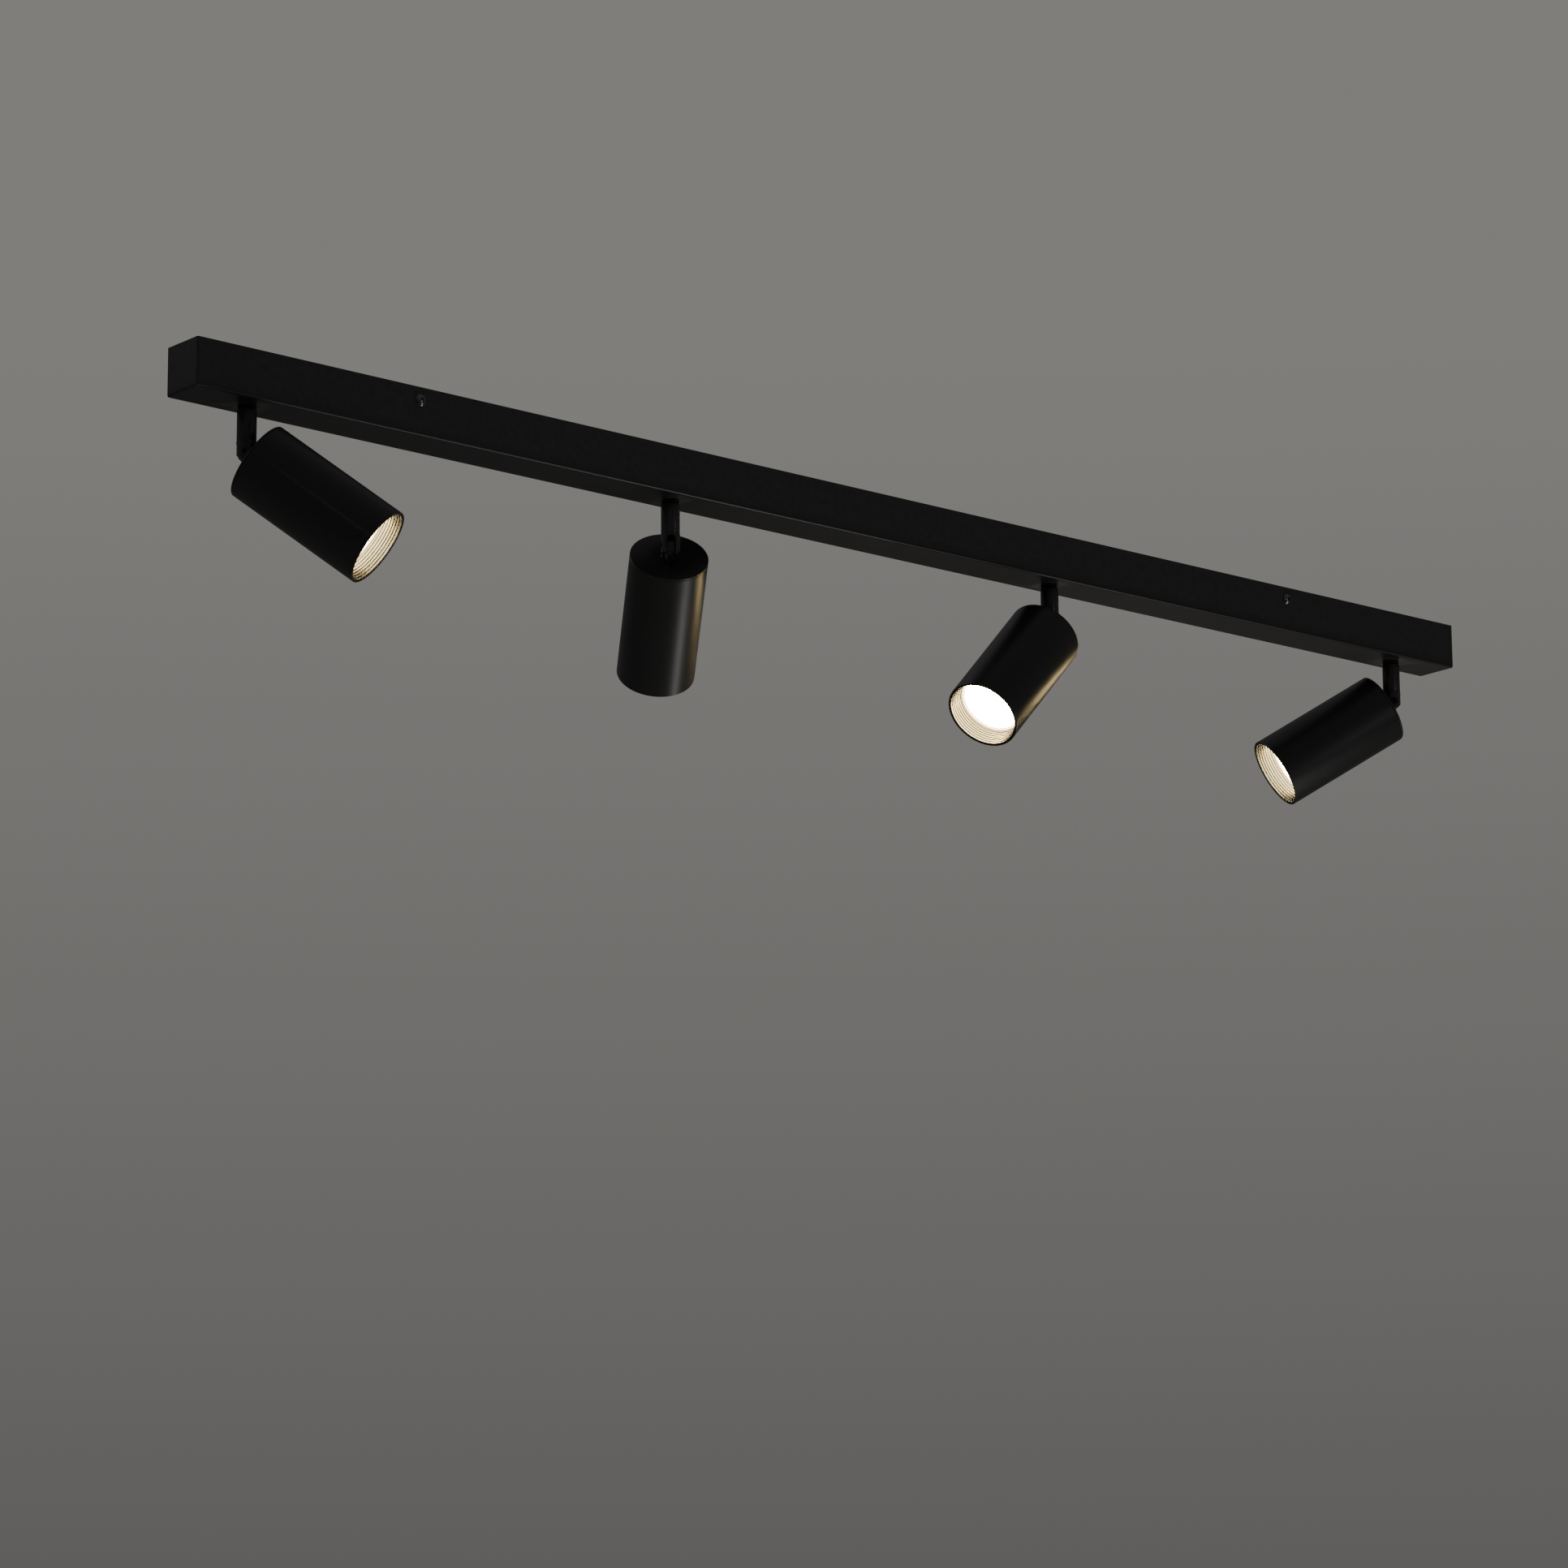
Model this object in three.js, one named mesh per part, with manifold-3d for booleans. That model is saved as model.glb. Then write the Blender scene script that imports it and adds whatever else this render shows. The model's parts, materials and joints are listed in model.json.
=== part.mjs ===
// Ceiling bar light: a folded steel channel that carries four swivelling, tilting lamp heads.
// Millimetres, +Z up. The origin is the middle of the ceiling plane that the bracket is screwed to.
// +X runs along the bar, and the bar's front face looks to -Y.
import * as THREE from "three";
import { mergeVertices } from "three/addons/utils/BufferGeometryUtils.js";
import Module from "manifold-3d";

const wasm = await Module();
wasm.setup();

// ---------------------------------------------------------------- driving dimensions

// Channel: one folded sheet, open to the ceiling.
const BAR_LENGTH = 1200;
const BAR_WIDTH = 36;
const BAR_HEIGHT = 34.5;
const SHEET = 1.2;
const FOLD_RADIUS = 1.6;

// Heads: how far the outer ones stand from the bar's ends. The others are spaced evenly between them.
const END_MARGIN = 52.8;
// Where each head is aimed: the bearing it leans towards, from +X, and its tilt from straight down.
const AIMS = [
  { bearing: -45.1, tilt: 52.7 },
  { bearing: 58.3, tilt: 50.8 },
  { bearing: -173.1, tilt: 44.3 },
  { bearing: 147.7, tilt: 58.1 },
];

// Ceiling bracket: a long strip with two pairs of turned-down, threaded tabs.
const BRACKET_SHEET = 1.5;
const BRACKET_WIDTH = 22;
const BRACKET_END_GAP = 55;
const TAB_LENGTH = 20;
const TAB_DROP = 16;
const SLOT_WIDTH = 5;
const SLOT_LENGTH = 14;
const INNER_SLOT_X = 100;
const OUTER_SLOT_OFFSET = 60;
const CABLE_ENTRY_X = 62;
const CABLE_ENTRY_RADIUS = 8;

// Side screws: pan heads through the channel's walls into the bracket's tabs.
const SIDE_SCREW_INSET = 184;
const SIDE_SCREW_DROP = 9.3;
const SIDE_SCREW_RADIUS = 2;
const SIDE_SCREW_HEAD_RADIUS = 4.2;
const SIDE_SCREW_HEAD_HEIGHT = 2.4;
const SIDE_SCREW_CROWN_RADIUS = 2.9;
const SIDE_SCREW_LENGTH = 7;
const RECESS_WIDTH = 1;
const RECESS_SPAN = 4.6;
const RECESS_DEPTH = 1.3;

// Swivel: a nylon collar in the channel's floor, a hollow threaded nipple, and its lock nut.
const NIPPLE_RADIUS = 4;
const WIREWAY_RADIUS = 2.8;
const COLLAR_RADIUS = 6.3;
const COLLAR_HEIGHT = 2;
const COLLAR_SPIGOT_WALL = 1.3;
const NUT_ACROSS_FLATS = 13;
const NUT_FLANGE_RADIUS = 8.4;
const NUT_FLANGE_HEIGHT = 1.2;
const NUT_HEIGHT = 5.4;
const NIPPLE_STAND_OUT = 2.5;

// Stem: a short tube, and below it the fork that holds the pivot.
const STEM_RADIUS = 6.7;
const STEM_WALL = 1.8;
const STEM_CHAMFER = 1;
const STEM_NECK = 4;
const FORK_STEP_OUT = 0.2;
const FORK_STEP_IN = 0.45;
const FLATS_ABOVE_EYE = 0.2;
const FORK_WEB = 3.2;
const FORK_SPIGOT = 10;
const FORK_BELOW_EYE = 0.8;
const FORK_CHAMFER = 3.6;
const FORK_SLOT = 6.2;
const SLOT_ARCH_DROP = 0.9;
const PIVOT_RADIUS = 1.5;
const PIVOT_HEAD_RADIUS = 2.7;
const PIVOT_HEAD_HEIGHT = 1.4;
const PIVOT_END_INSET = 0.6;
const PIVOT_SOCKET_RADIUS = 1.1;
const PIVOT_SOCKET_DEPTH = 0.9;

// Head: lug, back cap, housing tube, lampholder, lamp, lens and ribbed baffle.
const HEAD_DIAMETER = 56.2;
const HEAD_LENGTH = 103;
const HEAD_WALL = 1.2;
const LUG_EYE_RADIUS = 4.8;
const LUG_FOOT_RADIUS = 5.8;
const LUG_FOOT_HEIGHT = 1;
const LUG_STUD_RADIUS = 3.5;
const LUG_STUD_LENGTH = 6.5;
const CAP_RIM = 1.3;
const CAP_SHEET = 2.4;
const CAP_SPIGOT_WALL = 2;
const CAP_SPIGOT_LENGTH = 6;
const HOLDER_NECK_WALL = 2.8;
const HOLDER_RADIUS = 13.5;
const HOLDER_HEIGHT = 21;
const LAMP_DIAMETER = 50;
const LAMP_LENGTH = 50;
const LAMP_RIM_HEIGHT = 6.6;
const LAMP_WAIST_RADIUS = 15;
const LAMP_WAIST_HEIGHT = 18;
const LAMP_BASE_RADIUS = 11;
const LAMP_BASE_HEIGHT = 11;
const LENS_RADIUS = 21.7;
const LENS_THICKNESS = 2.2;
const LENS_SETBACK = 1.1;
const BAFFLE_SETBACK = 0.4;
const BAFFLE_DEPTH = 13.2;
const BAFFLE_LIP = 0.7;
const BAFFLE_THROAT_RADIUS = 23.6;
const BAFFLE_STEPS = 7;

// Wiring inside the channel.
const LEAD_DIAMETER = 5;
const LEAD_LEVEL = 13;
const LEAD_RISE = 9;
const LEAD_TURN = 10.8;
const LEAD_START_RISE = 3.15;
const LEAD_HUMP = 0.9;
const OUTER_LANE = 7;
const INNER_LANE = -4;
const TERMINAL_X = 0;
const TERMINAL_LENGTH = 44;
const TERMINAL_WIDTH = 21;
const TERMINAL_HEIGHT = 17;
const TERMINAL_POLES = 3;
const TERMINAL_WELL_RADIUS = 2.1;
const TERMINAL_WELL_DEPTH = 5;
const EARTH_STUD_X = -46;
const EARTH_STUD_RADIUS = 2;
const EARTH_STUD_HEIGHT = 9;
const EARTH_NUT_FLATS = 7;
const EARTH_NUT_HEIGHT = 3.2;

// Clearances: the least gap between pieces that seat on each other, and the play in a swivel or pivot.
const SEAT_GAP = 0.3;
const RUNNING_GAP = 0.12;
const THREAD_GAP = 0.2;

// Room to move: a head tilted level stays this far under the bar, and its cap this far from the stem.
const HEAD_UNDER_BAR = 5.1;
const CAP_OFF_STEM = 2.6;

// How finely round pieces are cut into flats.
const WIDE_SEGMENTS = 24;
const LAMP_SEGMENTS = 20;
const SEGMENTS = 16;
const FINE_SEGMENTS = 12;
const FOLD_SEGMENTS = 4;
const LEAD_QUARTERS = 4;

// ---------------------------------------------------------------- worked-out places

const FLOOR_UNDERSIDE = -BAR_HEIGHT;
const FLOOR_TOP = FLOOR_UNDERSIDE + SHEET;
const INNER_HALF_WIDTH = BAR_WIDTH / 2 - SHEET;
const STATION_PITCH = (BAR_LENGTH - 2 * END_MARGIN) / (AIMS.length - 1);
const SIDE_SCREW_X = BAR_LENGTH / 2 - SIDE_SCREW_INSET;
const BRACKET_LENGTH = BAR_LENGTH - 2 * (SHEET + BRACKET_END_GAP);
const HEAD_RADIUS = HEAD_DIAMETER / 2;
const HEAD_BORE = HEAD_RADIUS - HEAD_WALL;
const PIVOT_LEVEL = FLOOR_UNDERSIDE - HEAD_UNDER_BAR - HEAD_RADIUS;
const FORK_RADIUS = STEM_RADIUS + FORK_STEP_OUT;
const FORK_FLAT = STEM_RADIUS - FORK_STEP_IN;
const FORK_FLAT_TOP = LUG_EYE_RADIUS + FLATS_ABOVE_EYE;
const FORK_SHOULDER = LUG_EYE_RADIUS + FORK_WEB;
const FORK_BOTTOM = LUG_EYE_RADIUS + FORK_BELOW_EYE;
const PIVOT_TO_CAP = FORK_RADIUS + CAP_OFF_STEM;
const NUT_BOTTOM = FLOOR_TOP + 2 * SEAT_GAP;
const NIPPLE_TOP = NUT_BOTTOM + NUT_HEIGHT + NIPPLE_STAND_OUT;
const COLLAR_BORE = NIPPLE_RADIUS + RUNNING_GAP;
const COLLAR_SPIGOT_RADIUS = COLLAR_BORE + COLLAR_SPIGOT_WALL;
const FLOOR_HOLE_RADIUS = COLLAR_SPIGOT_RADIUS + SEAT_GAP;

// Levels inside a head, measured from the pivot along the head's own axis, which points up at the pivot.
const CAP_TOP = -PIVOT_TO_CAP;
const CAP_UNDERSIDE = CAP_TOP - CAP_SHEET;
const HOUSING_TOP = CAP_TOP - CAP_RIM - SEAT_GAP;
const HEAD_FRONT = CAP_TOP - HEAD_LENGTH;
const LUG_FOOT_UNDERSIDE = CAP_TOP + SEAT_GAP;
const BAFFLE_FRONT = HEAD_FRONT + BAFFLE_SETBACK;
const BAFFLE_BACK = BAFFLE_FRONT + BAFFLE_DEPTH;
const LAMP_FACE = BAFFLE_BACK + SEAT_GAP;
const LAMP_BACK = LAMP_FACE + LAMP_LENGTH;
const HOLDER_FACE = LAMP_BACK + SEAT_GAP;

// ---------------------------------------------------------------- finishes

function finish(color, roughness, metalness) {
  return () => new THREE.MeshStandardMaterial({ color, roughness, metalness });
}
const blackPowderCoat = finish(0x1b1b1c, 0.55, 0.3);
const zincSteel = finish(0x9a9d9f, 0.4, 0.9);
const blackenedSteel = finish(0x2b2b2d, 0.35, 0.9);
const blackNylon = finish(0x101011, 0.6, 0);
const glossBlackPlastic = finish(0x0b0b0b, 0.25, 0);
const whitePlastic = finish(0xe9e7e1, 0.5, 0);
const ceramic = finish(0xe6e1d6, 0.7, 0);
const frostedLens = finish(0xfff1d0, 0.3, 0);
const leadSleeve = finish(0xd9d9d6, 0.6, 0);

// ---------------------------------------------------------------- solids

// A closed three.js geometry as a manifold-3d solid.
function solid(geometry) {
  const bare = geometry.clone();
  bare.deleteAttribute("normal");
  bare.deleteAttribute("uv");
  const merged = mergeVertices(bare, 1e-4);
  const mesh = new wasm.Mesh({
    numProp: 3,
    vertProperties: merged.attributes.position.array,
    triVerts: new Uint32Array(merged.index.array),
  });
  return new wasm.Manifold(mesh);
}

// A manifold-3d solid as a three.js geometry with flat normals.
function geometryOf(body) {
  const mesh = body.getMesh();
  const shared = new THREE.BufferGeometry();
  shared.setAttribute("position", new THREE.BufferAttribute(mesh.vertProperties, 3));
  shared.setIndex(new THREE.BufferAttribute(mesh.triVerts, 1));
  const flat = shared.toNonIndexed();
  flat.computeVertexNormals();
  return flat;
}

// A turned piece: its profile is a list of [radius, height], up the outside and down the inside or axis.
function turned(profile, segments) {
  const closed = profile[0][0] > 0 ? [...profile, profile[0]] : profile;
  const points = closed.map(([radius, height]) => new THREE.Vector2(radius, height));
  return new THREE.LatheGeometry(points, segments).rotateX(Math.PI / 2);
}

function rod(radius, bottom, top, segments) {
  return turned([[0, bottom], [radius, bottom], [radius, top], [0, top]], segments);
}

// A hexagonal prism of the given width across its flats.
function hexagon(acrossFlats, bottom, top) {
  return rod(acrossFlats / 2 / Math.cos(Math.PI / 6), bottom, top, 6);
}

function box(lengths, centre) {
  return new THREE.BoxGeometry(...lengths).translate(...centre);
}

function outline(points) {
  return new THREE.Shape(points.map(([x, y]) => new THREE.Vector2(x, y)));
}

function extruded(shape, depth) {
  return new THREE.ExtrudeGeometry(shape, { depth, bevelEnabled: false, curveSegments: FOLD_SEGMENTS });
}

// An outline drawn in Y and Z, run along X between two places.
function alongX(shape, start, end) {
  const turn = new THREE.Matrix4().makeBasis(
    new THREE.Vector3(0, 1, 0),
    new THREE.Vector3(0, 0, 1),
    new THREE.Vector3(1, 0, 0),
  );
  return extruded(shape, end - start).applyMatrix4(turn).translate(start, 0, 0);
}

// An outline drawn in X and Z, run along Y, half of its depth to each side.
function acrossY(shape, depth) {
  const turn = new THREE.Matrix4().makeBasis(
    new THREE.Vector3(1, 0, 0),
    new THREE.Vector3(0, 0, 1),
    new THREE.Vector3(0, -1, 0),
  );
  return extruded(shape, depth).applyMatrix4(turn).translate(0, depth / 2, 0);
}

// A U-shaped section in Y and Z, open to the top, with round folds at its two lower corners.
function foldedSection(halfWidth, top, bottom, radius) {
  const section = new THREE.Shape();
  section.moveTo(-halfWidth, top);
  section.lineTo(-halfWidth, bottom + radius);
  section.absarc(-halfWidth + radius, bottom + radius, radius, Math.PI, 1.5 * Math.PI);
  section.lineTo(halfWidth - radius, bottom);
  section.absarc(halfWidth - radius, bottom + radius, radius, -0.5 * Math.PI, 0);
  section.lineTo(halfWidth, top);
  return section;
}

function part(name, geometry, material) {
  const mesh = new THREE.Mesh(geometry, material());
  mesh.name = name;
  return mesh;
}

// ---------------------------------------------------------------- channel and ceiling bracket

const STATIONS = AIMS.map((aim, index) => ({
  ...aim,
  number: index + 1,
  x: (index - (AIMS.length - 1) / 2) * STATION_PITCH,
}));

// Side screw places: a pair through the front wall and a pair through the back wall.
const SIDE_SCREWS = [
  { name: "side_screw_front_left", x: -SIDE_SCREW_X, side: -1 },
  { name: "side_screw_front_right", x: SIDE_SCREW_X, side: -1 },
  { name: "side_screw_back_left", x: -SIDE_SCREW_X, side: 1 },
  { name: "side_screw_back_right", x: SIDE_SCREW_X, side: 1 },
];

function channelGeometry() {
  const half = BAR_LENGTH / 2;
  const outside = foldedSection(BAR_WIDTH / 2, 0, FLOOR_UNDERSIDE, FOLD_RADIUS);
  const inside = foldedSection(INNER_HALF_WIDTH, SHEET, FLOOR_TOP, Math.max(FOLD_RADIUS - SHEET, SHEET / 4));
  let body = solid(alongX(outside, -half, half));
  body = body.subtract(solid(alongX(inside, -half + SHEET, half - SHEET)));
  for (const { x } of STATIONS) {
    const hole = rod(FLOOR_HOLE_RADIUS, FLOOR_UNDERSIDE - SHEET, FLOOR_TOP + SHEET, SEGMENTS);
    body = body.subtract(solid(hole.translate(x, 0, 0)));
  }
  const crossHole = rod(SIDE_SCREW_RADIUS + SEAT_GAP, -BAR_WIDTH, BAR_WIDTH, FINE_SEGMENTS);
  for (const x of [-SIDE_SCREW_X, SIDE_SCREW_X]) {
    const hole = crossHole.clone().rotateX(Math.PI / 2).translate(x, 0, -SIDE_SCREW_DROP);
    body = body.subtract(solid(hole));
  }
  return geometryOf(body);
}

function slotPath(x, length, width) {
  const run = (length - width) / 2;
  const path = new THREE.Path();
  path.moveTo(x - run, -width / 2);
  path.absarc(x + run, 0, width / 2, -0.5 * Math.PI, 0.5 * Math.PI);
  path.absarc(x - run, 0, width / 2, 0.5 * Math.PI, 1.5 * Math.PI);
  return path;
}

function bracketGeometry() {
  const halfLength = BRACKET_LENGTH / 2;
  const halfWidth = BRACKET_WIDTH / 2;
  const strip = outline([
    [-halfLength, -halfWidth],
    [halfLength, -halfWidth],
    [halfLength, halfWidth],
    [-halfLength, halfWidth],
  ]);
  for (const x of [INNER_SLOT_X, SIDE_SCREW_X - OUTER_SLOT_OFFSET]) {
    strip.holes.push(slotPath(x, SLOT_LENGTH, SLOT_WIDTH), slotPath(-x, SLOT_LENGTH, SLOT_WIDTH));
  }
  const entry = new THREE.Path();
  entry.absarc(CABLE_ENTRY_X, 0, CABLE_ENTRY_RADIUS, 0, 2 * Math.PI);
  strip.holes.push(entry);
  let body = solid(extruded(strip, BRACKET_SHEET).translate(0, 0, -BRACKET_SHEET));

  const reach = INNER_HALF_WIDTH - SEAT_GAP;
  const inner = reach - BRACKET_SHEET;
  const tabs = outline([
    [-reach, -TAB_DROP],
    [-inner, -TAB_DROP],
    [-inner, -BRACKET_SHEET],
    [inner, -BRACKET_SHEET],
    [inner, -TAB_DROP],
    [reach, -TAB_DROP],
    [reach, 0],
    [-reach, 0],
  ]);
  const tapped = rod(SIDE_SCREW_RADIUS + THREAD_GAP, -BAR_WIDTH, BAR_WIDTH, FINE_SEGMENTS);
  for (const x of [-SIDE_SCREW_X, SIDE_SCREW_X]) {
    body = body.add(solid(alongX(tabs, x - TAB_LENGTH / 2, x + TAB_LENGTH / 2)));
    const hole = tapped.clone().rotateX(Math.PI / 2).translate(x, 0, -SIDE_SCREW_DROP);
    body = body.subtract(solid(hole));
  }
  return geometryOf(body);
}

// A pan-head screw with a cross recess. Its shank runs along +Z from the underside of the head at 0.
function sideScrewGeometry() {
  let body = solid(turned([
    [0, -SIDE_SCREW_HEAD_HEIGHT],
    [SIDE_SCREW_CROWN_RADIUS, -SIDE_SCREW_HEAD_HEIGHT],
    [SIDE_SCREW_HEAD_RADIUS, -SIDE_SCREW_HEAD_HEIGHT / 2],
    [SIDE_SCREW_HEAD_RADIUS, 0],
    [SIDE_SCREW_RADIUS, 0],
    [SIDE_SCREW_RADIUS, SIDE_SCREW_LENGTH],
    [0, SIDE_SCREW_LENGTH],
  ], FINE_SEGMENTS));
  const mouth = 2 * RECESS_DEPTH;
  for (const size of [[RECESS_SPAN, RECESS_WIDTH, mouth], [RECESS_WIDTH, RECESS_SPAN, mouth]]) {
    body = body.subtract(solid(box(size, [0, 0, -SIDE_SCREW_HEAD_HEIGHT])));
  }
  return geometryOf(body);
}

// ---------------------------------------------------------------- wiring inside the channel

function terminalGeometry() {
  const bottom = FLOOR_TOP + SEAT_GAP;
  const top = bottom + TERMINAL_HEIGHT;
  const half = TERMINAL_WIDTH / 2;
  const ledge = half - 2 * TERMINAL_WELL_RADIUS;
  const section = outline([
    [-half, bottom],
    [half, bottom],
    [half, top - TERMINAL_WELL_DEPTH / 2],
    [ledge, top],
    [-ledge, top],
    [-half, top - TERMINAL_WELL_DEPTH / 2],
  ]);
  let body = solid(alongX(section, TERMINAL_X - TERMINAL_LENGTH / 2, TERMINAL_X + TERMINAL_LENGTH / 2));
  const pitch = TERMINAL_LENGTH / TERMINAL_POLES;
  for (let pole = 0; pole < TERMINAL_POLES; pole += 1) {
    const x = TERMINAL_X + (pole + 0.5) * pitch - TERMINAL_LENGTH / 2;
    const well = rod(TERMINAL_WELL_RADIUS, top - TERMINAL_WELL_DEPTH, top + SEAT_GAP, FINE_SEGMENTS);
    body = body.subtract(solid(well.translate(x, 0, 0)));
  }
  return geometryOf(body);
}

function earthStudGeometry() {
  const bottom = FLOOR_TOP + SEAT_GAP;
  const stud = solid(rod(EARTH_STUD_RADIUS, bottom, bottom + EARTH_STUD_HEIGHT, FINE_SEGMENTS));
  const nut = solid(hexagon(EARTH_NUT_FLATS, bottom, bottom + EARTH_NUT_HEIGHT));
  return geometryOf(stud.add(nut).translate(EARTH_STUD_X, 0, 0));
}

// A sleeved lead, from just above a stem's nipple along the channel to the end of the terminal block.
function leadGeometry(x, lane) {
  const side = Math.sign(x - TERMINAL_X);
  const level = FLOOR_TOP + LEAD_LEVEL;
  const end = TERMINAL_X + side * (TERMINAL_LENGTH / 2 + SEAT_GAP);
  const run = Math.abs(x - end);
  const near = new THREE.Vector3(x - side * (LEAD_RISE + LEAD_TURN), lane, level);
  const route = new THREE.CatmullRomCurve3([
    new THREE.Vector3(x, 0, NIPPLE_TOP + 2 * SEAT_GAP),
    new THREE.Vector3(x, 0, NIPPLE_TOP + LEAD_START_RISE),
    new THREE.Vector3(x - side * LEAD_RISE, lane / 2, level + LEAD_HUMP),
    near,
    new THREE.Vector3((near.x + end) / 2, lane, level),
    new THREE.Vector3(end + side * LEAD_RISE, lane, level),
    new THREE.Vector3(end, lane, level),
  ], false, "centripetal");
  const section = new THREE.Shape();
  section.absarc(0, 0, LEAD_DIAMETER / 2, 0, 2 * Math.PI);
  return new THREE.ExtrudeGeometry(section, {
    steps: Math.ceil(run / (3 * LEAD_DIAMETER)),
    curveSegments: LEAD_QUARTERS,
    extrudePath: route,
  });
}

// ---------------------------------------------------------------- swivel and stem
// The collar is measured from the ceiling. The nut, stem, fork and screw turn together, and are measured
// from the pivot's level.

const ABOVE_PIVOT = -PIVOT_LEVEL;
const COLLAR_BOTTOM = FLOOR_UNDERSIDE - COLLAR_HEIGHT;
const STEM_TOP = COLLAR_BOTTOM - SEAT_GAP;

function collarGeometry() {
  const seat = FLOOR_UNDERSIDE - SEAT_GAP;
  return turned([
    [COLLAR_BORE, COLLAR_BOTTOM],
    [COLLAR_RADIUS, COLLAR_BOTTOM],
    [COLLAR_RADIUS, seat],
    [COLLAR_SPIGOT_RADIUS, seat],
    [COLLAR_SPIGOT_RADIUS, FLOOR_TOP + SEAT_GAP],
    [COLLAR_BORE, FLOOR_TOP + SEAT_GAP],
  ], SEGMENTS);
}

function lockNutGeometry() {
  const bottom = NUT_BOTTOM + ABOVE_PIVOT;
  const flange = solid(rod(NUT_FLANGE_RADIUS, bottom, bottom + NUT_FLANGE_HEIGHT, SEGMENTS));
  const hex = solid(hexagon(NUT_ACROSS_FLATS, bottom, bottom + NUT_HEIGHT));
  const bore = rod(NIPPLE_RADIUS + THREAD_GAP, bottom - 1, bottom + NUT_HEIGHT + 1, SEGMENTS);
  return geometryOf(flange.add(hex).subtract(solid(bore)));
}

function stemGeometry() {
  const top = STEM_TOP + ABOVE_PIVOT;
  const bottom = FORK_SHOULDER + SEAT_GAP;
  const bore = STEM_RADIUS - STEM_WALL;
  const neck = top - STEM_NECK;
  return turned([
    [bore, bottom],
    [STEM_RADIUS, bottom],
    [STEM_RADIUS, top - STEM_CHAMFER],
    [STEM_RADIUS - STEM_CHAMFER, top],
    [NIPPLE_RADIUS, top],
    [NIPPLE_RADIUS, NIPPLE_TOP + ABOVE_PIVOT],
    [WIREWAY_RADIUS, NIPPLE_TOP + ABOVE_PIVOT],
    [WIREWAY_RADIUS, neck],
    [bore, neck],
  ], SEGMENTS);
}

// The pivot's bore through both ears, along Y.
function pivotRod(radius, start, end) {
  return rod(radius, start, end, FINE_SEGMENTS).rotateX(-Math.PI / 2);
}

const PIVOT_HEAD_SEAT = FORK_RADIUS - SEAT_GAP - PIVOT_HEAD_HEIGHT;

function forkGeometry() {
  const spigotRadius = STEM_RADIUS - STEM_WALL - SEAT_GAP;
  const spigotTop = FORK_SHOULDER + FORK_SPIGOT;
  const blank = solid(turned([
    [0, -FORK_BOTTOM],
    [FORK_RADIUS, -FORK_BOTTOM],
    [FORK_RADIUS, FORK_SHOULDER],
    [spigotRadius, FORK_SHOULDER],
    [spigotRadius, spigotTop],
    [0, spigotTop],
  ], SEGMENTS));
  const wide = FORK_RADIUS + 1;
  const ears = acrossY(outline([
    [-wide, FORK_FLAT_TOP],
    [-FORK_FLAT, FORK_FLAT_TOP],
    [-FORK_FLAT, FORK_CHAMFER - FORK_BOTTOM],
    [FORK_CHAMFER - FORK_FLAT, -FORK_BOTTOM],
    [FORK_FLAT - FORK_CHAMFER, -FORK_BOTTOM],
    [FORK_FLAT, FORK_CHAMFER - FORK_BOTTOM],
    [FORK_FLAT, FORK_FLAT_TOP],
    [wide, FORK_FLAT_TOP],
    [wide, spigotTop + 1],
    [-wide, spigotTop + 1],
  ]), 2 * wide);

  const half = FORK_SLOT / 2;
  const arch = LUG_EYE_RADIUS - SLOT_ARCH_DROP;
  const slot = new THREE.Shape();
  slot.moveTo(-half, -FORK_BOTTOM - 1);
  slot.lineTo(half, -FORK_BOTTOM - 1);
  slot.absarc(0, arch, half, 0, Math.PI);
  const slotBody = alongX(slot, -wide, wide);

  const counterbore = pivotRod(PIVOT_HEAD_RADIUS + SEAT_GAP, PIVOT_HEAD_SEAT - SEAT_GAP, wide);
  const body = blank
    .intersect(solid(ears))
    .subtract(solid(slotBody))
    .subtract(solid(rod(WIREWAY_RADIUS, 0, spigotTop + 1, SEGMENTS)))
    .subtract(solid(pivotRod(PIVOT_RADIUS + THREAD_GAP, -wide, wide)))
    .subtract(solid(counterbore));
  return geometryOf(body);
}

// The pivot screw lies along Y, its head towards +Y.
function pivotScrewGeometry() {
  const face = PIVOT_HEAD_SEAT + PIVOT_HEAD_HEIGHT;
  const socketFloor = face - PIVOT_SOCKET_DEPTH;
  return turned([
    [0, PIVOT_END_INSET - FORK_RADIUS],
    [PIVOT_RADIUS, PIVOT_END_INSET - FORK_RADIUS],
    [PIVOT_RADIUS, PIVOT_HEAD_SEAT],
    [PIVOT_HEAD_RADIUS, PIVOT_HEAD_SEAT],
    [PIVOT_HEAD_RADIUS, face],
    [PIVOT_SOCKET_RADIUS, face],
    [PIVOT_SOCKET_RADIUS, socketFloor],
    [0, socketFloor],
  ], FINE_SEGMENTS).rotateX(-Math.PI / 2);
}

// ---------------------------------------------------------------- lamp head
// These pieces are measured from the pivot, with the head hanging straight down.

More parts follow.
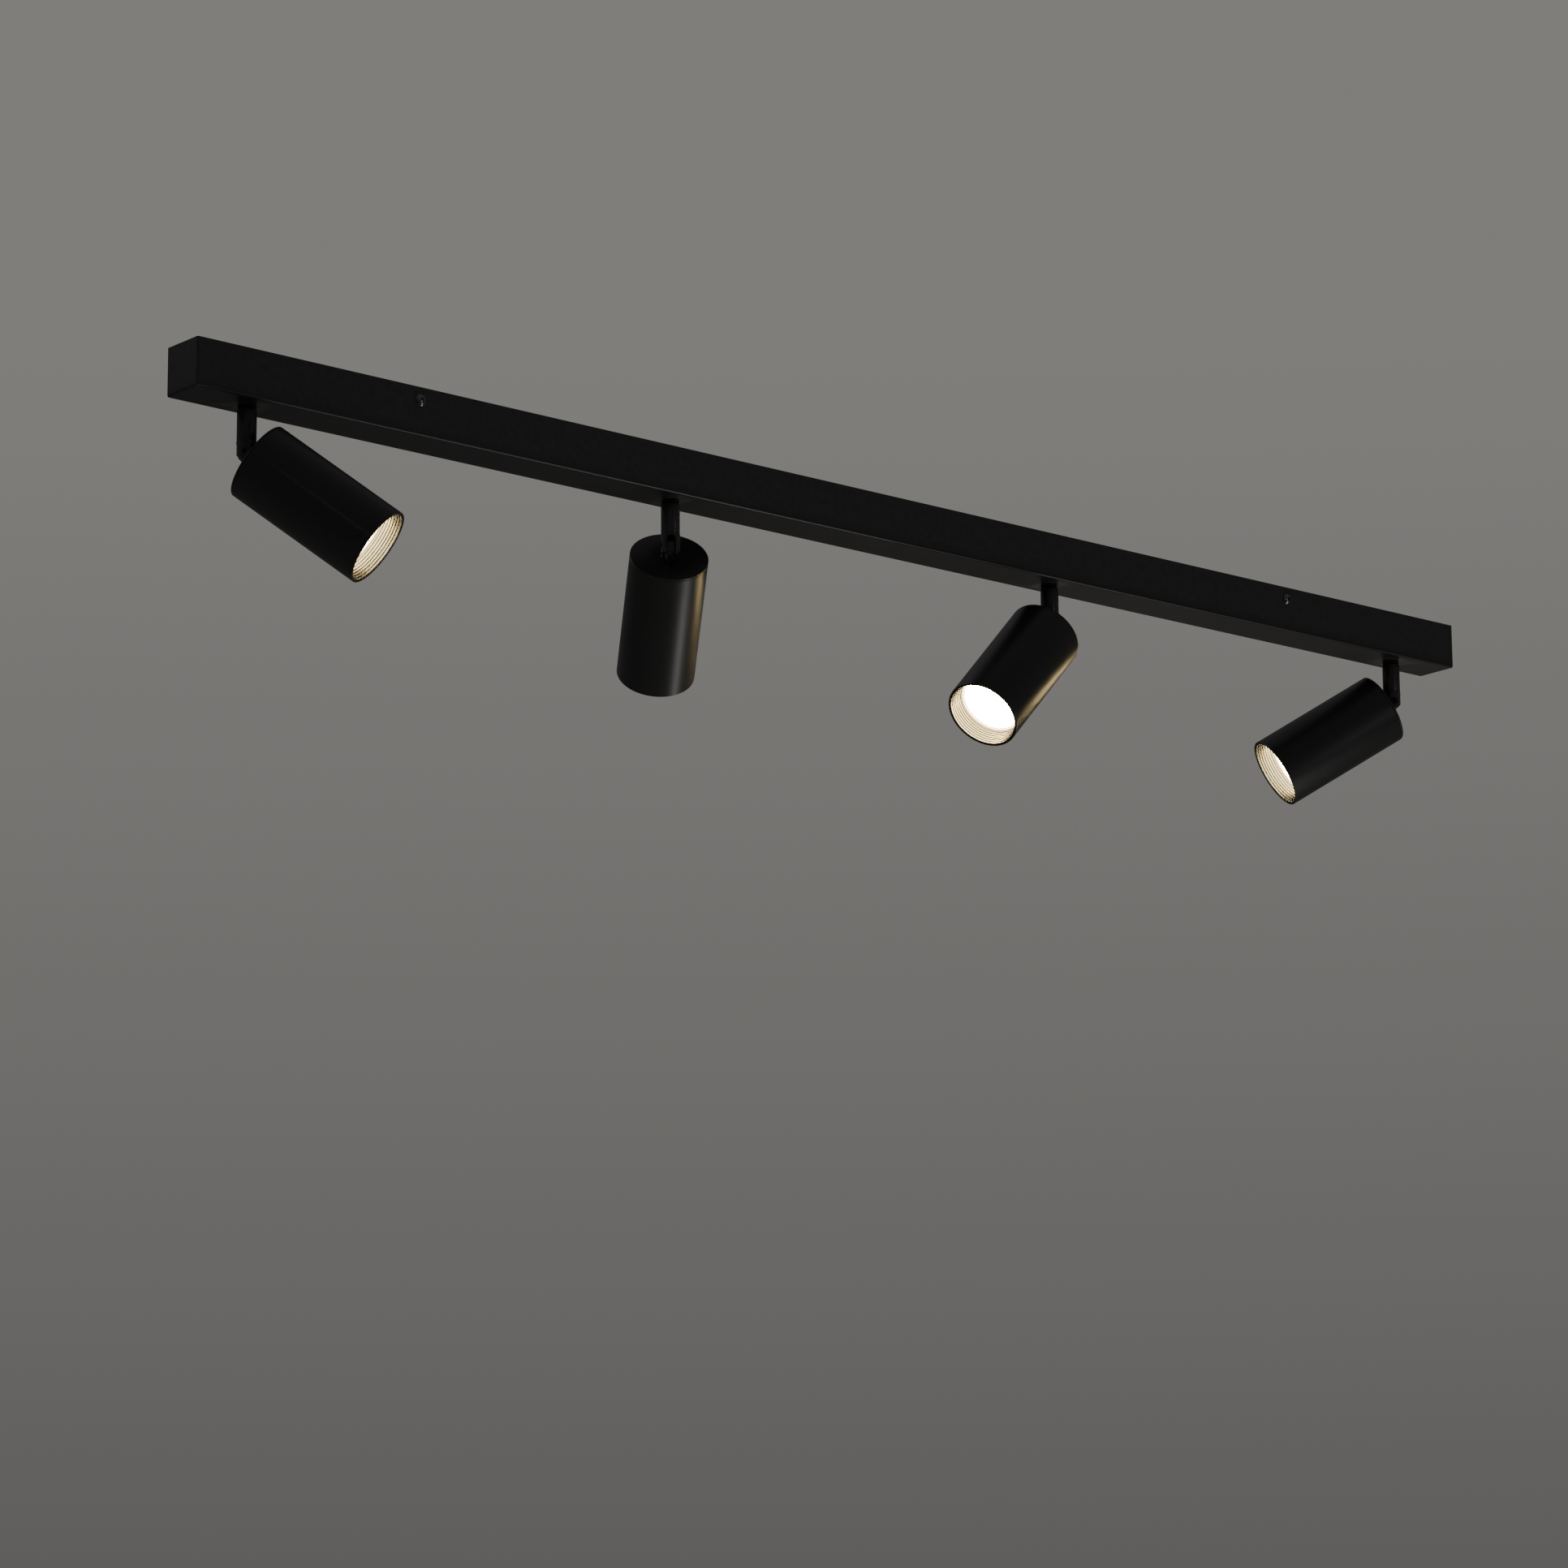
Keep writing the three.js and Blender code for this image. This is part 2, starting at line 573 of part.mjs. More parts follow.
function lugGeometry() {
  const blade = new THREE.Shape();
  const footTop = LUG_FOOT_UNDERSIDE + LUG_FOOT_HEIGHT;
  blade.moveTo(-LUG_EYE_RADIUS, LUG_FOOT_UNDERSIDE + LUG_FOOT_HEIGHT / 2);
  blade.lineTo(LUG_EYE_RADIUS, LUG_FOOT_UNDERSIDE + LUG_FOOT_HEIGHT / 2);
  blade.absarc(0, 0, LUG_EYE_RADIUS, 0, Math.PI);
  const thickness = FORK_SLOT - 2 * (SEAT_GAP + RUNNING_GAP);
  const stud = turned([
    [0, LUG_FOOT_UNDERSIDE - LUG_STUD_LENGTH],
    [LUG_STUD_RADIUS, LUG_FOOT_UNDERSIDE - LUG_STUD_LENGTH],
    [LUG_STUD_RADIUS, LUG_FOOT_UNDERSIDE],
    [LUG_FOOT_RADIUS, LUG_FOOT_UNDERSIDE],
    [LUG_FOOT_RADIUS, footTop],
    [0, footTop],
  ], SEGMENTS);
  const body = solid(acrossY(blade, thickness))
    .add(solid(stud))
    .subtract(solid(pivotRod(PIVOT_RADIUS + RUNNING_GAP, -FORK_RADIUS, FORK_RADIUS)));
  return geometryOf(body);
}

function backCapGeometry() {
  const spigot = HEAD_BORE - SEAT_GAP;
  const rimUnderside = CAP_TOP - CAP_RIM;
  const spigotEnd = rimUnderside - CAP_SPIGOT_LENGTH;
  const bore = LUG_STUD_RADIUS + SEAT_GAP;
  return turned([
    [bore, CAP_UNDERSIDE],
    [spigot - CAP_SPIGOT_WALL, CAP_UNDERSIDE],
    [spigot - CAP_SPIGOT_WALL, spigotEnd],
    [spigot, spigotEnd],
    [spigot, rimUnderside],
    [HEAD_RADIUS, rimUnderside],
    [HEAD_RADIUS, CAP_TOP],
    [bore, CAP_TOP],
  ], WIDE_SEGMENTS);
}

function housingGeometry() {
  return turned([
    [HEAD_BORE, HEAD_FRONT],
    [HEAD_RADIUS, HEAD_FRONT],
    [HEAD_RADIUS, HOUSING_TOP],
    [HEAD_BORE, HOUSING_TOP],
  ], WIDE_SEGMENTS);
}

// The lampholder: a round ceramic body on a neck that reaches up to the back cap around the lug's stud.
function lampholderGeometry() {
  const bore = LUG_STUD_RADIUS + SEAT_GAP;
  const neck = bore + HOLDER_NECK_WALL;
  return turned([
    [bore, HOLDER_FACE],
    [HOLDER_RADIUS, HOLDER_FACE],
    [HOLDER_RADIUS, HOLDER_FACE + HOLDER_HEIGHT],
    [neck, HOLDER_FACE + HOLDER_HEIGHT],
    [neck, CAP_UNDERSIDE - SEAT_GAP],
    [bore, CAP_UNDERSIDE - SEAT_GAP],
  ], SEGMENTS);
}

// The lamp: a reflector body with a front rim, and a pocket in its face that holds the lens.
function lampGeometry() {
  const radius = LAMP_DIAMETER / 2;
  const pocket = LENS_RADIUS + SEAT_GAP;
  const pocketFloor = LAMP_FACE + LENS_SETBACK + LENS_THICKNESS + SEAT_GAP;
  return turned([
    [0, pocketFloor],
    [pocket, pocketFloor],
    [pocket, LAMP_FACE],
    [radius, LAMP_FACE],
    [radius, LAMP_FACE + LAMP_RIM_HEIGHT],
    [LAMP_WAIST_RADIUS, LAMP_BACK - LAMP_WAIST_HEIGHT],
    [LAMP_BASE_RADIUS, LAMP_BACK - LAMP_BASE_HEIGHT],
    [LAMP_BASE_RADIUS, LAMP_BACK],
    [0, LAMP_BACK],
  ], LAMP_SEGMENTS);
}

function lensGeometry() {
  const face = LAMP_FACE + LENS_SETBACK;
  return turned([
    [0, face],
    [LENS_RADIUS, face],
    [LENS_RADIUS, face + LENS_THICKNESS],
    [0, face + LENS_THICKNESS],
  ], LAMP_SEGMENTS);
}

// The baffle: a ring that lines the front of the housing and steps in towards the lamp.
function baffleGeometry() {
  const outer = HEAD_BORE - SEAT_GAP;
  const mouth = outer - BAFFLE_LIP;
  const stepDepth = BAFFLE_DEPTH / BAFFLE_STEPS;
  const stepIn = (mouth - BAFFLE_THROAT_RADIUS) / (BAFFLE_STEPS - 1);
  const profile = [
    [outer, BAFFLE_FRONT],
    [outer, BAFFLE_BACK],
  ];
  for (let step = BAFFLE_STEPS - 1; step >= 0; step -= 1) {
    const radius = mouth - step * stepIn;
    profile.push([radius, BAFFLE_FRONT + (step + 1) * stepDepth], [radius, BAFFLE_FRONT + step * stepDepth]);
  }
  return turned(profile, LAMP_SEGMENTS);
}

// ---------------------------------------------------------------- assembly

const light = new THREE.Group();

light.add(part("channel", channelGeometry(), blackPowderCoat));
light.add(part("ceiling_bracket", bracketGeometry(), zincSteel));
for (const { name, x, side } of SIDE_SCREWS) {
  const screw = part(name, sideScrewGeometry(), blackenedSteel);
  screw.position.set(x, side * (BAR_WIDTH / 2 + SEAT_GAP), -SIDE_SCREW_DROP);
  screw.rotation.x = (side * Math.PI) / 2;
  light.add(screw);
}
light.add(part("terminal_block", terminalGeometry(), whitePlastic));
light.add(part("earth_stud", earthStudGeometry(), zincSteel));

for (const { number, x, bearing, tilt } of STATIONS) {
  const lane = Math.abs(x) > STATION_PITCH ? OUTER_LANE : INNER_LANE;
  light.add(part(`lead_${number}`, leadGeometry(x, lane), leadSleeve));

  const collar = part(`swivel_collar_${number}`, collarGeometry(), blackNylon);
  collar.position.x = x;
  light.add(collar);

  const swivel = new THREE.Group();
  swivel.position.set(x, 0, PIVOT_LEVEL);
  swivel.rotation.z = THREE.MathUtils.degToRad(bearing);
  swivel.add(part(`lock_nut_${number}`, lockNutGeometry(), zincSteel));
  swivel.add(part(`stem_${number}`, stemGeometry(), blackPowderCoat));
  swivel.add(part(`fork_${number}`, forkGeometry(), blackPowderCoat));
  swivel.add(part(`pivot_screw_${number}`, pivotScrewGeometry(), blackenedSteel));
  light.add(swivel);

  const head = new THREE.Group();
  head.rotation.y = -THREE.MathUtils.degToRad(tilt);
  head.add(part(`lug_${number}`, lugGeometry(), blackPowderCoat));
  head.add(part(`back_cap_${number}`, backCapGeometry(), blackPowderCoat));
  head.add(part(`housing_${number}`, housingGeometry(), blackPowderCoat));
  head.add(part(`lampholder_${number}`, lampholderGeometry(), ceramic));
  head.add(part(`lamp_${number}`, lampGeometry(), whitePlastic));
  head.add(part(`lens_${number}`, lensGeometry(), frostedLens));
  head.add(part(`baffle_${number}`, baffleGeometry(), glossBlackPlastic));
  swivel.add(head);
}

export default light;
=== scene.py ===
import json
import math

import bmesh
import bpy
from mathutils import Matrix, Vector

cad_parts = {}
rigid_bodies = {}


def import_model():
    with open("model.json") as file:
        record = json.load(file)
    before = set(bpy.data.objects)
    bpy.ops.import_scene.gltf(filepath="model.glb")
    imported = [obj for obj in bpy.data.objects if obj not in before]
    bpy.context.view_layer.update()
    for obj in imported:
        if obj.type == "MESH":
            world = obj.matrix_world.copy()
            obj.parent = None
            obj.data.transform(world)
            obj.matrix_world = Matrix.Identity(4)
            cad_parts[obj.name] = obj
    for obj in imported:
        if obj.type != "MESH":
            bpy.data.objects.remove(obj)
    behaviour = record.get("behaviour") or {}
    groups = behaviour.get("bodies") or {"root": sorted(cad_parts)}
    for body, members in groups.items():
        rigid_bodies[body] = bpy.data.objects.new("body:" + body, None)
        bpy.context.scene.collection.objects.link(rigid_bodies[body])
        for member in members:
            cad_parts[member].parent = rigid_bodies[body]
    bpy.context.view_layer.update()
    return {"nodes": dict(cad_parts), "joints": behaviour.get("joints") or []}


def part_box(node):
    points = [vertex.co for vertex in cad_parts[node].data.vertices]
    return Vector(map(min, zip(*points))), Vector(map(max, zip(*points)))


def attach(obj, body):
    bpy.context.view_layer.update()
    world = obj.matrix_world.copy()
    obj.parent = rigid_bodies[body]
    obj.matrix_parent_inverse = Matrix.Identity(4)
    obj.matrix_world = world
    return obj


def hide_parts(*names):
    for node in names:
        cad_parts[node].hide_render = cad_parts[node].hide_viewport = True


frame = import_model()
joints = {joint["name"]: joint for joint in frame["joints"]}
MM = 0.001

# ------------------------ Camera and studio
# The camera stands in front of the bar, off its left end and below it, and looks up at it.
# A pale floor lies well below. Soft panels light the black coat from three sides, and one lights the floor.

CAMERA_PLACE = (-2.6918, -3.0967, -1.1925)
CAMERA_BEARING = -40.156
CAMERA_PITCH = 13.420
CAMERA_ROLL = -0.457
CAMERA_LENS = 134.15
FLOOR_BELOW = 2.3
FLOOR_SIZE = 40.0
FLOOR_COLOUR = (0.72, 0.71, 0.69, 1)
FLOOR_ROUGHNESS = 0.8
PANELS = (
    # name, place, point it faces, width and height, watts, colour
    ("panel_front", (0.8, -2.5, -0.4), (-0.1, 0, -0.1), (0.5, 1.6), 1.5, (1.0, 0.98, 0.96)),
    ("panel_below", (0.95, -0.55, -1.45), (-0.1, 0, 0), (1.4, 0.25), 6.0, (1.0, 0.98, 0.95)),
    ("panel_behind", (2.6, 2.2, -0.8), (0.3, 0, -0.1), (1.2, 0.5), 0.35, (1.0, 0.92, 0.82)),
    ("panel_above", (-1.4, 1.9, 2.2), (0, 0, 0), (1.5, 1.5), 12, (0.97, 0.98, 1.0)),
    ("panel_floor", (0, 0, -0.9), (0, 0, -2), (7.0, 7.0), 190, (1.0, 0.99, 0.97)),
)

camera = bpy.data.objects.new("camera", bpy.data.cameras.new("camera"))
camera.data.lens = CAMERA_LENS
camera.matrix_world = (
    Matrix.Translation(CAMERA_PLACE)
    @ Matrix.Rotation(math.radians(CAMERA_BEARING), 4, "Z")
    @ Matrix.Rotation(math.radians(90 + CAMERA_PITCH), 4, "X")
    @ Matrix.Rotation(math.radians(CAMERA_ROLL), 4, "Z")
)
bpy.context.scene.collection.objects.link(camera)
bpy.context.scene.camera = camera


def add(tree, kind, **settings):
    """A new node. A setting named like an input sets that input, and any other sets the node itself."""
    node = tree.nodes.new(kind)
    for name, value in settings.items():
        label = name.replace("_", " ")
        if label in node.inputs:
            node.inputs[label].default_value = value
        else:
            setattr(node, name, value)
    return node


def join(tree, source, target):
    tree.links.new(source, target)


def soft_panel(name, place, aim, size, power, colour):
    """A rectangular soft light at a place, turned to face a point."""
    lamp = bpy.data.lights.new(name, "AREA")
    lamp.shape = "RECTANGLE"
    lamp.size, lamp.size_y = size
    lamp.energy = power
    lamp.color = colour
    panel = bpy.data.objects.new(name, lamp)
    panel.location = place
    panel.rotation_euler = (Vector(aim) - Vector(place)).to_track_quat("-Z", "Y").to_euler()
    panel.visible_camera = False
    bpy.context.scene.collection.objects.link(panel)


for panel in PANELS:
    soft_panel(*panel)


def height_ramp(tree, upward, low, high, low_colour, high_colour):
    """A colour that changes with how far up a direction points."""
    height = add(tree, "ShaderNodeMapRange", From_Min=low, From_Max=high)
    shade = add(tree, "ShaderNodeValToRGB")
    shade.color_ramp.elements[0].color = (*low_colour, 1)
    shade.color_ramp.elements[1].color = (*high_colour, 1)
    join(tree, upward, height.inputs["Value"])
    join(tree, height.outputs[0], shade.inputs[0])
    return shade.outputs[0]


world = bpy.data.worlds.new("studio")
world.use_nodes = True
bpy.context.scene.world = world
sky = world.node_tree
# The camera sees the backdrop, and the pieces are lit by the dimmer room light.
direction = add(sky, "ShaderNodeTexCoord")
split = add(sky, "ShaderNodeSeparateXYZ")
ray = add(sky, "ShaderNodeLightPath")
seen = add(sky, "ShaderNodeMix", data_type="RGBA")
join(sky, direction.outputs["Generated"], split.inputs[0])
up = split.outputs["Z"]
room_light = height_ramp(
    sky, up, low=-0.2, high=1.0, low_colour=(0.06, 0.059, 0.057), high_colour=(0.13, 0.13, 0.13)
)
backdrop = height_ramp(
    sky, up, low=0.03, high=0.3, low_colour=(0.085, 0.083, 0.08), high_colour=(0.215, 0.21, 0.2)
)
join(sky, ray.outputs["Is Camera Ray"], seen.inputs["Factor"])
join(sky, room_light, seen.inputs["A"])
join(sky, backdrop, seen.inputs["B"])
join(sky, seen.outputs["Result"], sky.nodes["Background"].inputs["Color"])

floor_mesh = bmesh.new()
bmesh.ops.create_grid(floor_mesh, x_segments=8, y_segments=8, size=FLOOR_SIZE / 2)
floor_data = bpy.data.meshes.new("floor")
floor_mesh.to_mesh(floor_data)
floor = bpy.data.objects.new("floor", floor_data)
floor.location.z = -FLOOR_BELOW
floor.visible_glossy = False
floor_paint = bpy.data.materials.new("pale_floor")
floor_paint.use_nodes = True
floor_shader = floor_paint.node_tree.nodes["Principled BSDF"]
floor_shader.inputs["Base Color"].default_value = FLOOR_COLOUR
floor_shader.inputs["Roughness"].default_value = FLOOR_ROUGHNESS
floor_data.materials.append(floor_paint)
bpy.context.scene.collection.objects.link(floor)

# ------------------------ Ceiling bracket
# A long zinc-plated steel strip that is screwed to the ceiling first. Two pairs of tabs are turned
# down from it, drilled and tapped for the side screws. It was pressed from sheet, so its edges are broken.

BRACKET_EDGE = 0.25
EDGE_ANGLE = 40
FAST_NOISE = 14
SURFACE_RELIEF = 0.0001


def new_group(name, inputs, outputs):
    """An empty shader node group with named inputs and outputs, and its two end nodes."""
    group = bpy.data.node_groups.new(name, "ShaderNodeTree")
    for label, kind, value in inputs:
        socket = group.interface.new_socket(label, in_out="INPUT", socket_type=kind)
        if value is not None:
            socket.default_value = value
    for label, kind in outputs:
        group.interface.new_socket(label, in_out="OUTPUT", socket_type=kind)
    return group, add(group, "NodeGroupInput"), add(group, "NodeGroupOutput")


def blotch_group():
    """Slow and fast noise over a surface, for plating and mouldings that aren't quite even."""
    group, given, result = new_group(
        "Blotches",
        [
            ("Vector", "NodeSocketVector", None),
            ("Size", "NodeSocketFloat", 0.01),
            ("Dark", "NodeSocketColor", (0.3, 0.3, 0.3, 1)),
            ("Light", "NodeSocketColor", (0.5, 0.5, 0.5, 1)),
            ("Smooth", "NodeSocketFloat", 0.3),
            ("Rough", "NodeSocketFloat", 0.5),
        ],
        [("Color", "NodeSocketColor"), ("Roughness", "NodeSocketFloat"), ("Height", "NodeSocketFloat")],
    )
    scale = add(group, "ShaderNodeMath", operation="DIVIDE")
    scale.inputs[0].default_value = 1
    slow = add(group, "ShaderNodeTexNoise", Detail=4.0, Roughness=0.55)
    fast_scale = add(group, "ShaderNodeMath", operation="MULTIPLY")
    fast_scale.inputs[1].default_value = FAST_NOISE
    fast = add(group, "ShaderNodeTexNoise", Detail=2.0)
    colour = add(group, "ShaderNodeMix", data_type="RGBA")
    roughness = add(group, "ShaderNodeMapRange", From_Min=0.3, From_Max=0.7)
    join(group, given.outputs["Size"], scale.inputs[1])
    join(group, scale.outputs[0], slow.inputs["Scale"])
    join(group, scale.outputs[0], fast_scale.inputs[0])
    join(group, fast_scale.outputs[0], fast.inputs["Scale"])
    join(group, given.outputs["Vector"], slow.inputs["Vector"])
    join(group, given.outputs["Vector"], fast.inputs["Vector"])
    join(group, slow.outputs["Fac"], colour.inputs["Factor"])
    join(group, given.outputs["Dark"], colour.inputs["A"])
    join(group, given.outputs["Light"], colour.inputs["B"])
    join(group, slow.outputs["Fac"], roughness.inputs["Value"])
    join(group, given.outputs["Smooth"], roughness.inputs["To Min"])
    join(group, given.outputs["Rough"], roughness.inputs["To Max"])
    join(group, colour.outputs["Result"], result.inputs["Color"])
    join(group, roughness.outputs[0], result.inputs["Roughness"])
    join(group, fast.outputs["Fac"], result.inputs["Height"])
    return group


blotches = blotch_group()


def place_group(tree, group, **values):
    node = add(tree, "ShaderNodeGroup", node_tree=group)
    for name, value in values.items():
        node.inputs[name.replace("_", " ")].default_value = value
    return node


def new_material(name):
    """A material, its node tree, its shader and the surface's own coordinates."""
    material = bpy.data.materials.new(name)
    material.use_nodes = True
    tree = material.node_tree
    coordinates = add(tree, "ShaderNodeTexCoord").outputs["Object"]
    return material, tree, tree.nodes["Principled BSDF"], coordinates


def blotchy_material(name, size, dark, light, smooth, rough, metallic, bump, level=0.5):
    """A plated metal or a plain moulding: a little uneven in tone, gloss and surface."""
    material, tree, shader, coordinates = new_material(name)
    surface = place_group(
        tree, blotches, Size=size, Dark=(*dark, 1), Light=(*light, 1), Smooth=smooth, Rough=rough
    )
    relief = add(tree, "ShaderNodeBump", Strength=bump, Distance=SURFACE_RELIEF)
    shader.inputs["Metallic"].default_value = metallic
    shader.inputs["Specular IOR Level"].default_value = level
    join(tree, coordinates, surface.inputs["Vector"])
    join(tree, surface.outputs["Color"], shader.inputs["Base Color"])
    join(tree, surface.outputs["Roughness"], shader.inputs["Roughness"])
    join(tree, surface.outputs["Height"], relief.inputs["Height"])
    join(tree, relief.outputs["Normal"], shader.inputs["Normal"])
    return material


zinc = blotchy_material(
    "zinc_plate", size=0.008, dark=(0.38, 0.39, 0.41), light=(0.56, 0.57, 0.58),
    smooth=0.24, rough=0.42, metallic=1.0, bump=0.15,
)


def refinish(node, material, edge):
    """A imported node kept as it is, with its edges broken by a small bevel and a material of its own."""
    kept = frame["nodes"][node]
    kept.data.materials.clear()
    kept.data.materials.append(material)
    bevel = kept.modifiers.new("broken_edges", "BEVEL")
    bevel.width = edge * MM
    bevel.segments = 2
    bevel.limit_method = "ANGLE"
    bevel.angle_limit = math.radians(EDGE_ANGLE)
    bevel.harden_normals = True


refinish("ceiling_bracket", zinc, BRACKET_EDGE)

# ------------------------ Channel
# The bar itself: one steel sheet folded into a tray, open to the ceiling, its ends folded up and closed.
# It is pierced for the stems and the side screws, then powder coated satin black.

SHEET = 1.2
FOLD_RADIUS = 1.6
FOLD_STEPS = 7
FOLD_MARGIN = 2.6
BAY_LENGTH = 24.0
STEM_HOLE_RADIUS = 5.72
SCREW_HOLE_RADIUS = 2.3
HOLE_STEPS = 48
SIDE_SCREWS = ("front_left", "front_right", "back_left", "back_right")
DRILL_REACH = 5.0

EDGE_START = 0.512
EDGE_SPAN = 0.025
EDGE_POLISH = -0.16
# The paler grey of the painted sheen on outside corners.
PAINTED_EDGE_SHEEN_COLOUR = (0.03, 0.03, 0.031, 1)
DUST_COLOUR = (0.17, 0.165, 0.155, 1)
WAVE_SHARE = 1.6
COAT_RELIEF = 0.00006
ON_AXIS = 1e-6
SHARP_ANGLE = 35


def coat_group():
    """Powder coat: fine orange peel, slower waves, and a gloss that wanders a little."""
    group, given, result = new_group(
        "Powder coat grain",
        [
            ("Vector", "NodeSocketVector", None),
            ("Grain", "NodeSocketFloat", 0.0006),
            ("Smooth", "NodeSocketFloat", 0.38),
            ("Rough", "NodeSocketFloat", 0.5),
        ],
        [("Height", "NodeSocketFloat"), ("Roughness", "NodeSocketFloat"), ("Tone", "NodeSocketFloat")],
    )
    scale = add(group, "ShaderNodeMath", operation="DIVIDE")
    scale.inputs[0].default_value = 1
    peel = add(group, "ShaderNodeTexNoise", Detail=3.0, Roughness=0.6)
    waves = add(group, "ShaderNodeTexNoise", Scale=90.0, Detail=2.0)
    drift = add(group, "ShaderNodeTexNoise", Scale=14.0, Detail=3.0)
    wave_height = add(group, "ShaderNodeMath", operation="MULTIPLY_ADD")
    wave_height.inputs[1].default_value = WAVE_SHARE
    roughness = add(group, "ShaderNodeMapRange", From_Min=0.3, From_Max=0.7)
    join(group, given.outputs["Grain"], scale.inputs[1])
    join(group, scale.outputs[0], peel.inputs["Scale"])
    for texture in (peel, waves, drift):
        join(group, given.outputs["Vector"], texture.inputs["Vector"])
    join(group, waves.outputs["Fac"], wave_height.inputs[0])
    join(group, peel.outputs["Fac"], wave_height.inputs[2])
    join(group, drift.outputs["Fac"], roughness.inputs["Value"])
    join(group, given.outputs["Smooth"], roughness.inputs["To Min"])
    join(group, given.outputs["Rough"], roughness.inputs["To Max"])
    join(group, wave_height.outputs[0], result.inputs["Height"])
    join(group, roughness.outputs[0], result.inputs["Roughness"])
    join(group, peel.outputs["Fac"], result.inputs["Tone"])
    return group


def worn_and_sheen_edge_group():
    """Outside corners, broken up by noise: the coat thins and is glossier there, and a painted sheen lightens
    its colour.
    """
    group, given, result = new_group(
        "Rubbed edges and painted sheen",
        [("Vector", "NodeSocketVector", None), ("Start", "NodeSocketFloat", EDGE_START)],
        [("Mask", "NodeSocketFloat")],
    )
    form = add(group, "ShaderNodeNewGeometry")
    full = add(group, "ShaderNodeMath", operation="ADD")
    full.inputs[1].default_value = EDGE_SPAN
    ridge = add(group, "ShaderNodeMapRange")
    patches = add(group, "ShaderNodeTexNoise", Scale=220.0, Detail=3.0)
    broken = add(group, "ShaderNodeMath", operation="MULTIPLY")
    join(group, given.outputs["Start"], full.inputs[0])
    join(group, form.outputs["Pointiness"], ridge.inputs["Value"])
    join(group, given.outputs["Start"], ridge.inputs["From Min"])
    join(group, full.outputs[0], ridge.inputs["From Max"])
    join(group, given.outputs["Vector"], patches.inputs["Vector"])
    join(group, ridge.outputs[0], broken.inputs[0])
    join(group, patches.outputs["Fac"], broken.inputs[1])
    join(group, broken.outputs[0], result.inputs["Mask"])
    return group


def dust_group():
    """A thin film of dust on what faces up."""
    group, given, result = new_group(
        "Settled dust",
        [("Vector", "NodeSocketVector", None), ("Most", "NodeSocketFloat", 0.2)],
        [("Mask", "NodeSocketFloat")],
    )
    form = add(group, "ShaderNodeNewGeometry")
    split = add(group, "ShaderNodeSeparateXYZ")
    upward = add(group, "ShaderNodeMapRange", From_Min=0.35, From_Max=1.0)
    flecks = add(group, "ShaderNodeTexNoise", Scale=420.0, Detail=5.0)
    thin = add(group, "ShaderNodeMath", operation="MULTIPLY")
    join(group, form.outputs["Normal"], split.inputs[0])
    join(group, split.outputs["Z"], upward.inputs["Value"])
    join(group, given.outputs["Most"], upward.inputs["To Max"])
    join(group, given.outputs["Vector"], flecks.inputs["Vector"])
    join(group, upward.outputs[0], thin.inputs[0])
    join(group, flecks.outputs["Fac"], thin.inputs[1])
    join(group, thin.outputs[0], result.inputs["Mask"])
    return group


coat_grain = coat_group()
worn_and_sheen_edges = worn_and_sheen_edge_group()
settled_dust = dust_group()


def powder_coat(name, deep, tone, grain, smooth, rough, bump, dust):
    """Satin black powder coat on steel or aluminium."""
    material, tree, shader, coordinates = new_material(name)
    surface = place_group(tree, coat_grain, Grain=grain, Smooth=smooth, Rough=rough)
    edge = place_group(tree, worn_and_sheen_edges, Start=EDGE_START)
    film = place_group(tree, settled_dust, Most=dust)
    for node in (surface, edge, film):
        join(tree, coordinates, node.inputs["Vector"])
    colour = add(tree, "ShaderNodeMix", data_type="RGBA")
    colour.inputs["A"].default_value = (*deep, 1)
    colour.inputs["B"].default_value = (*tone, 1)
    join(tree, surface.outputs["Tone"], colour.inputs["Factor"])
    # Painted sheen: outside corners are lightened towards a paler grey.
    sheen_mix = add(tree, "ShaderNodeMix", data_type="RGBA")
    sheen_mix.inputs["B"].default_value = PAINTED_EDGE_SHEEN_COLOUR
    join(tree, edge.outputs["Mask"], sheen_mix.inputs["Factor"])
    join(tree, colour.outputs["Result"], sheen_mix.inputs["A"])
    dusty = add(tree, "ShaderNodeMix", data_type="RGBA")
    dusty.inputs["B"].default_value = DUST_COLOUR
    join(tree, film.outputs["Mask"], dusty.inputs["Factor"])
    join(tree, sheen_mix.outputs["Result"], dusty.inputs["A"])
    join(tree, dusty.outputs["Result"], shader.inputs["Base Color"])
    polish = add(tree, "ShaderNodeMath", operation="MULTIPLY_ADD")
    polish.inputs[1].default_value = EDGE_POLISH
    join(tree, edge.outputs["Mask"], polish.inputs[0])
    join(tree, surface.outputs["Roughness"], polish.inputs[2])
    join(tree, polish.outputs[0], shader.inputs["Roughness"])
    relief = add(tree, "ShaderNodeBump", Strength=bump, Distance=COAT_RELIEF)
    join(tree, surface.outputs["Height"], relief.inputs["Height"])
    join(tree, relief.outputs["Normal"], shader.inputs["Normal"])
    shader.inputs["Specular IOR Level"].default_value = 0.5
    return material


bar_coat = powder_coat(
    "bar_coat", deep=(0.006, 0.006, 0.0063), tone=(0.011, 0.011, 0.0114),
    grain=0.0007, smooth=0.38, rough=0.43, bump=0.45, dust=0.05,
)


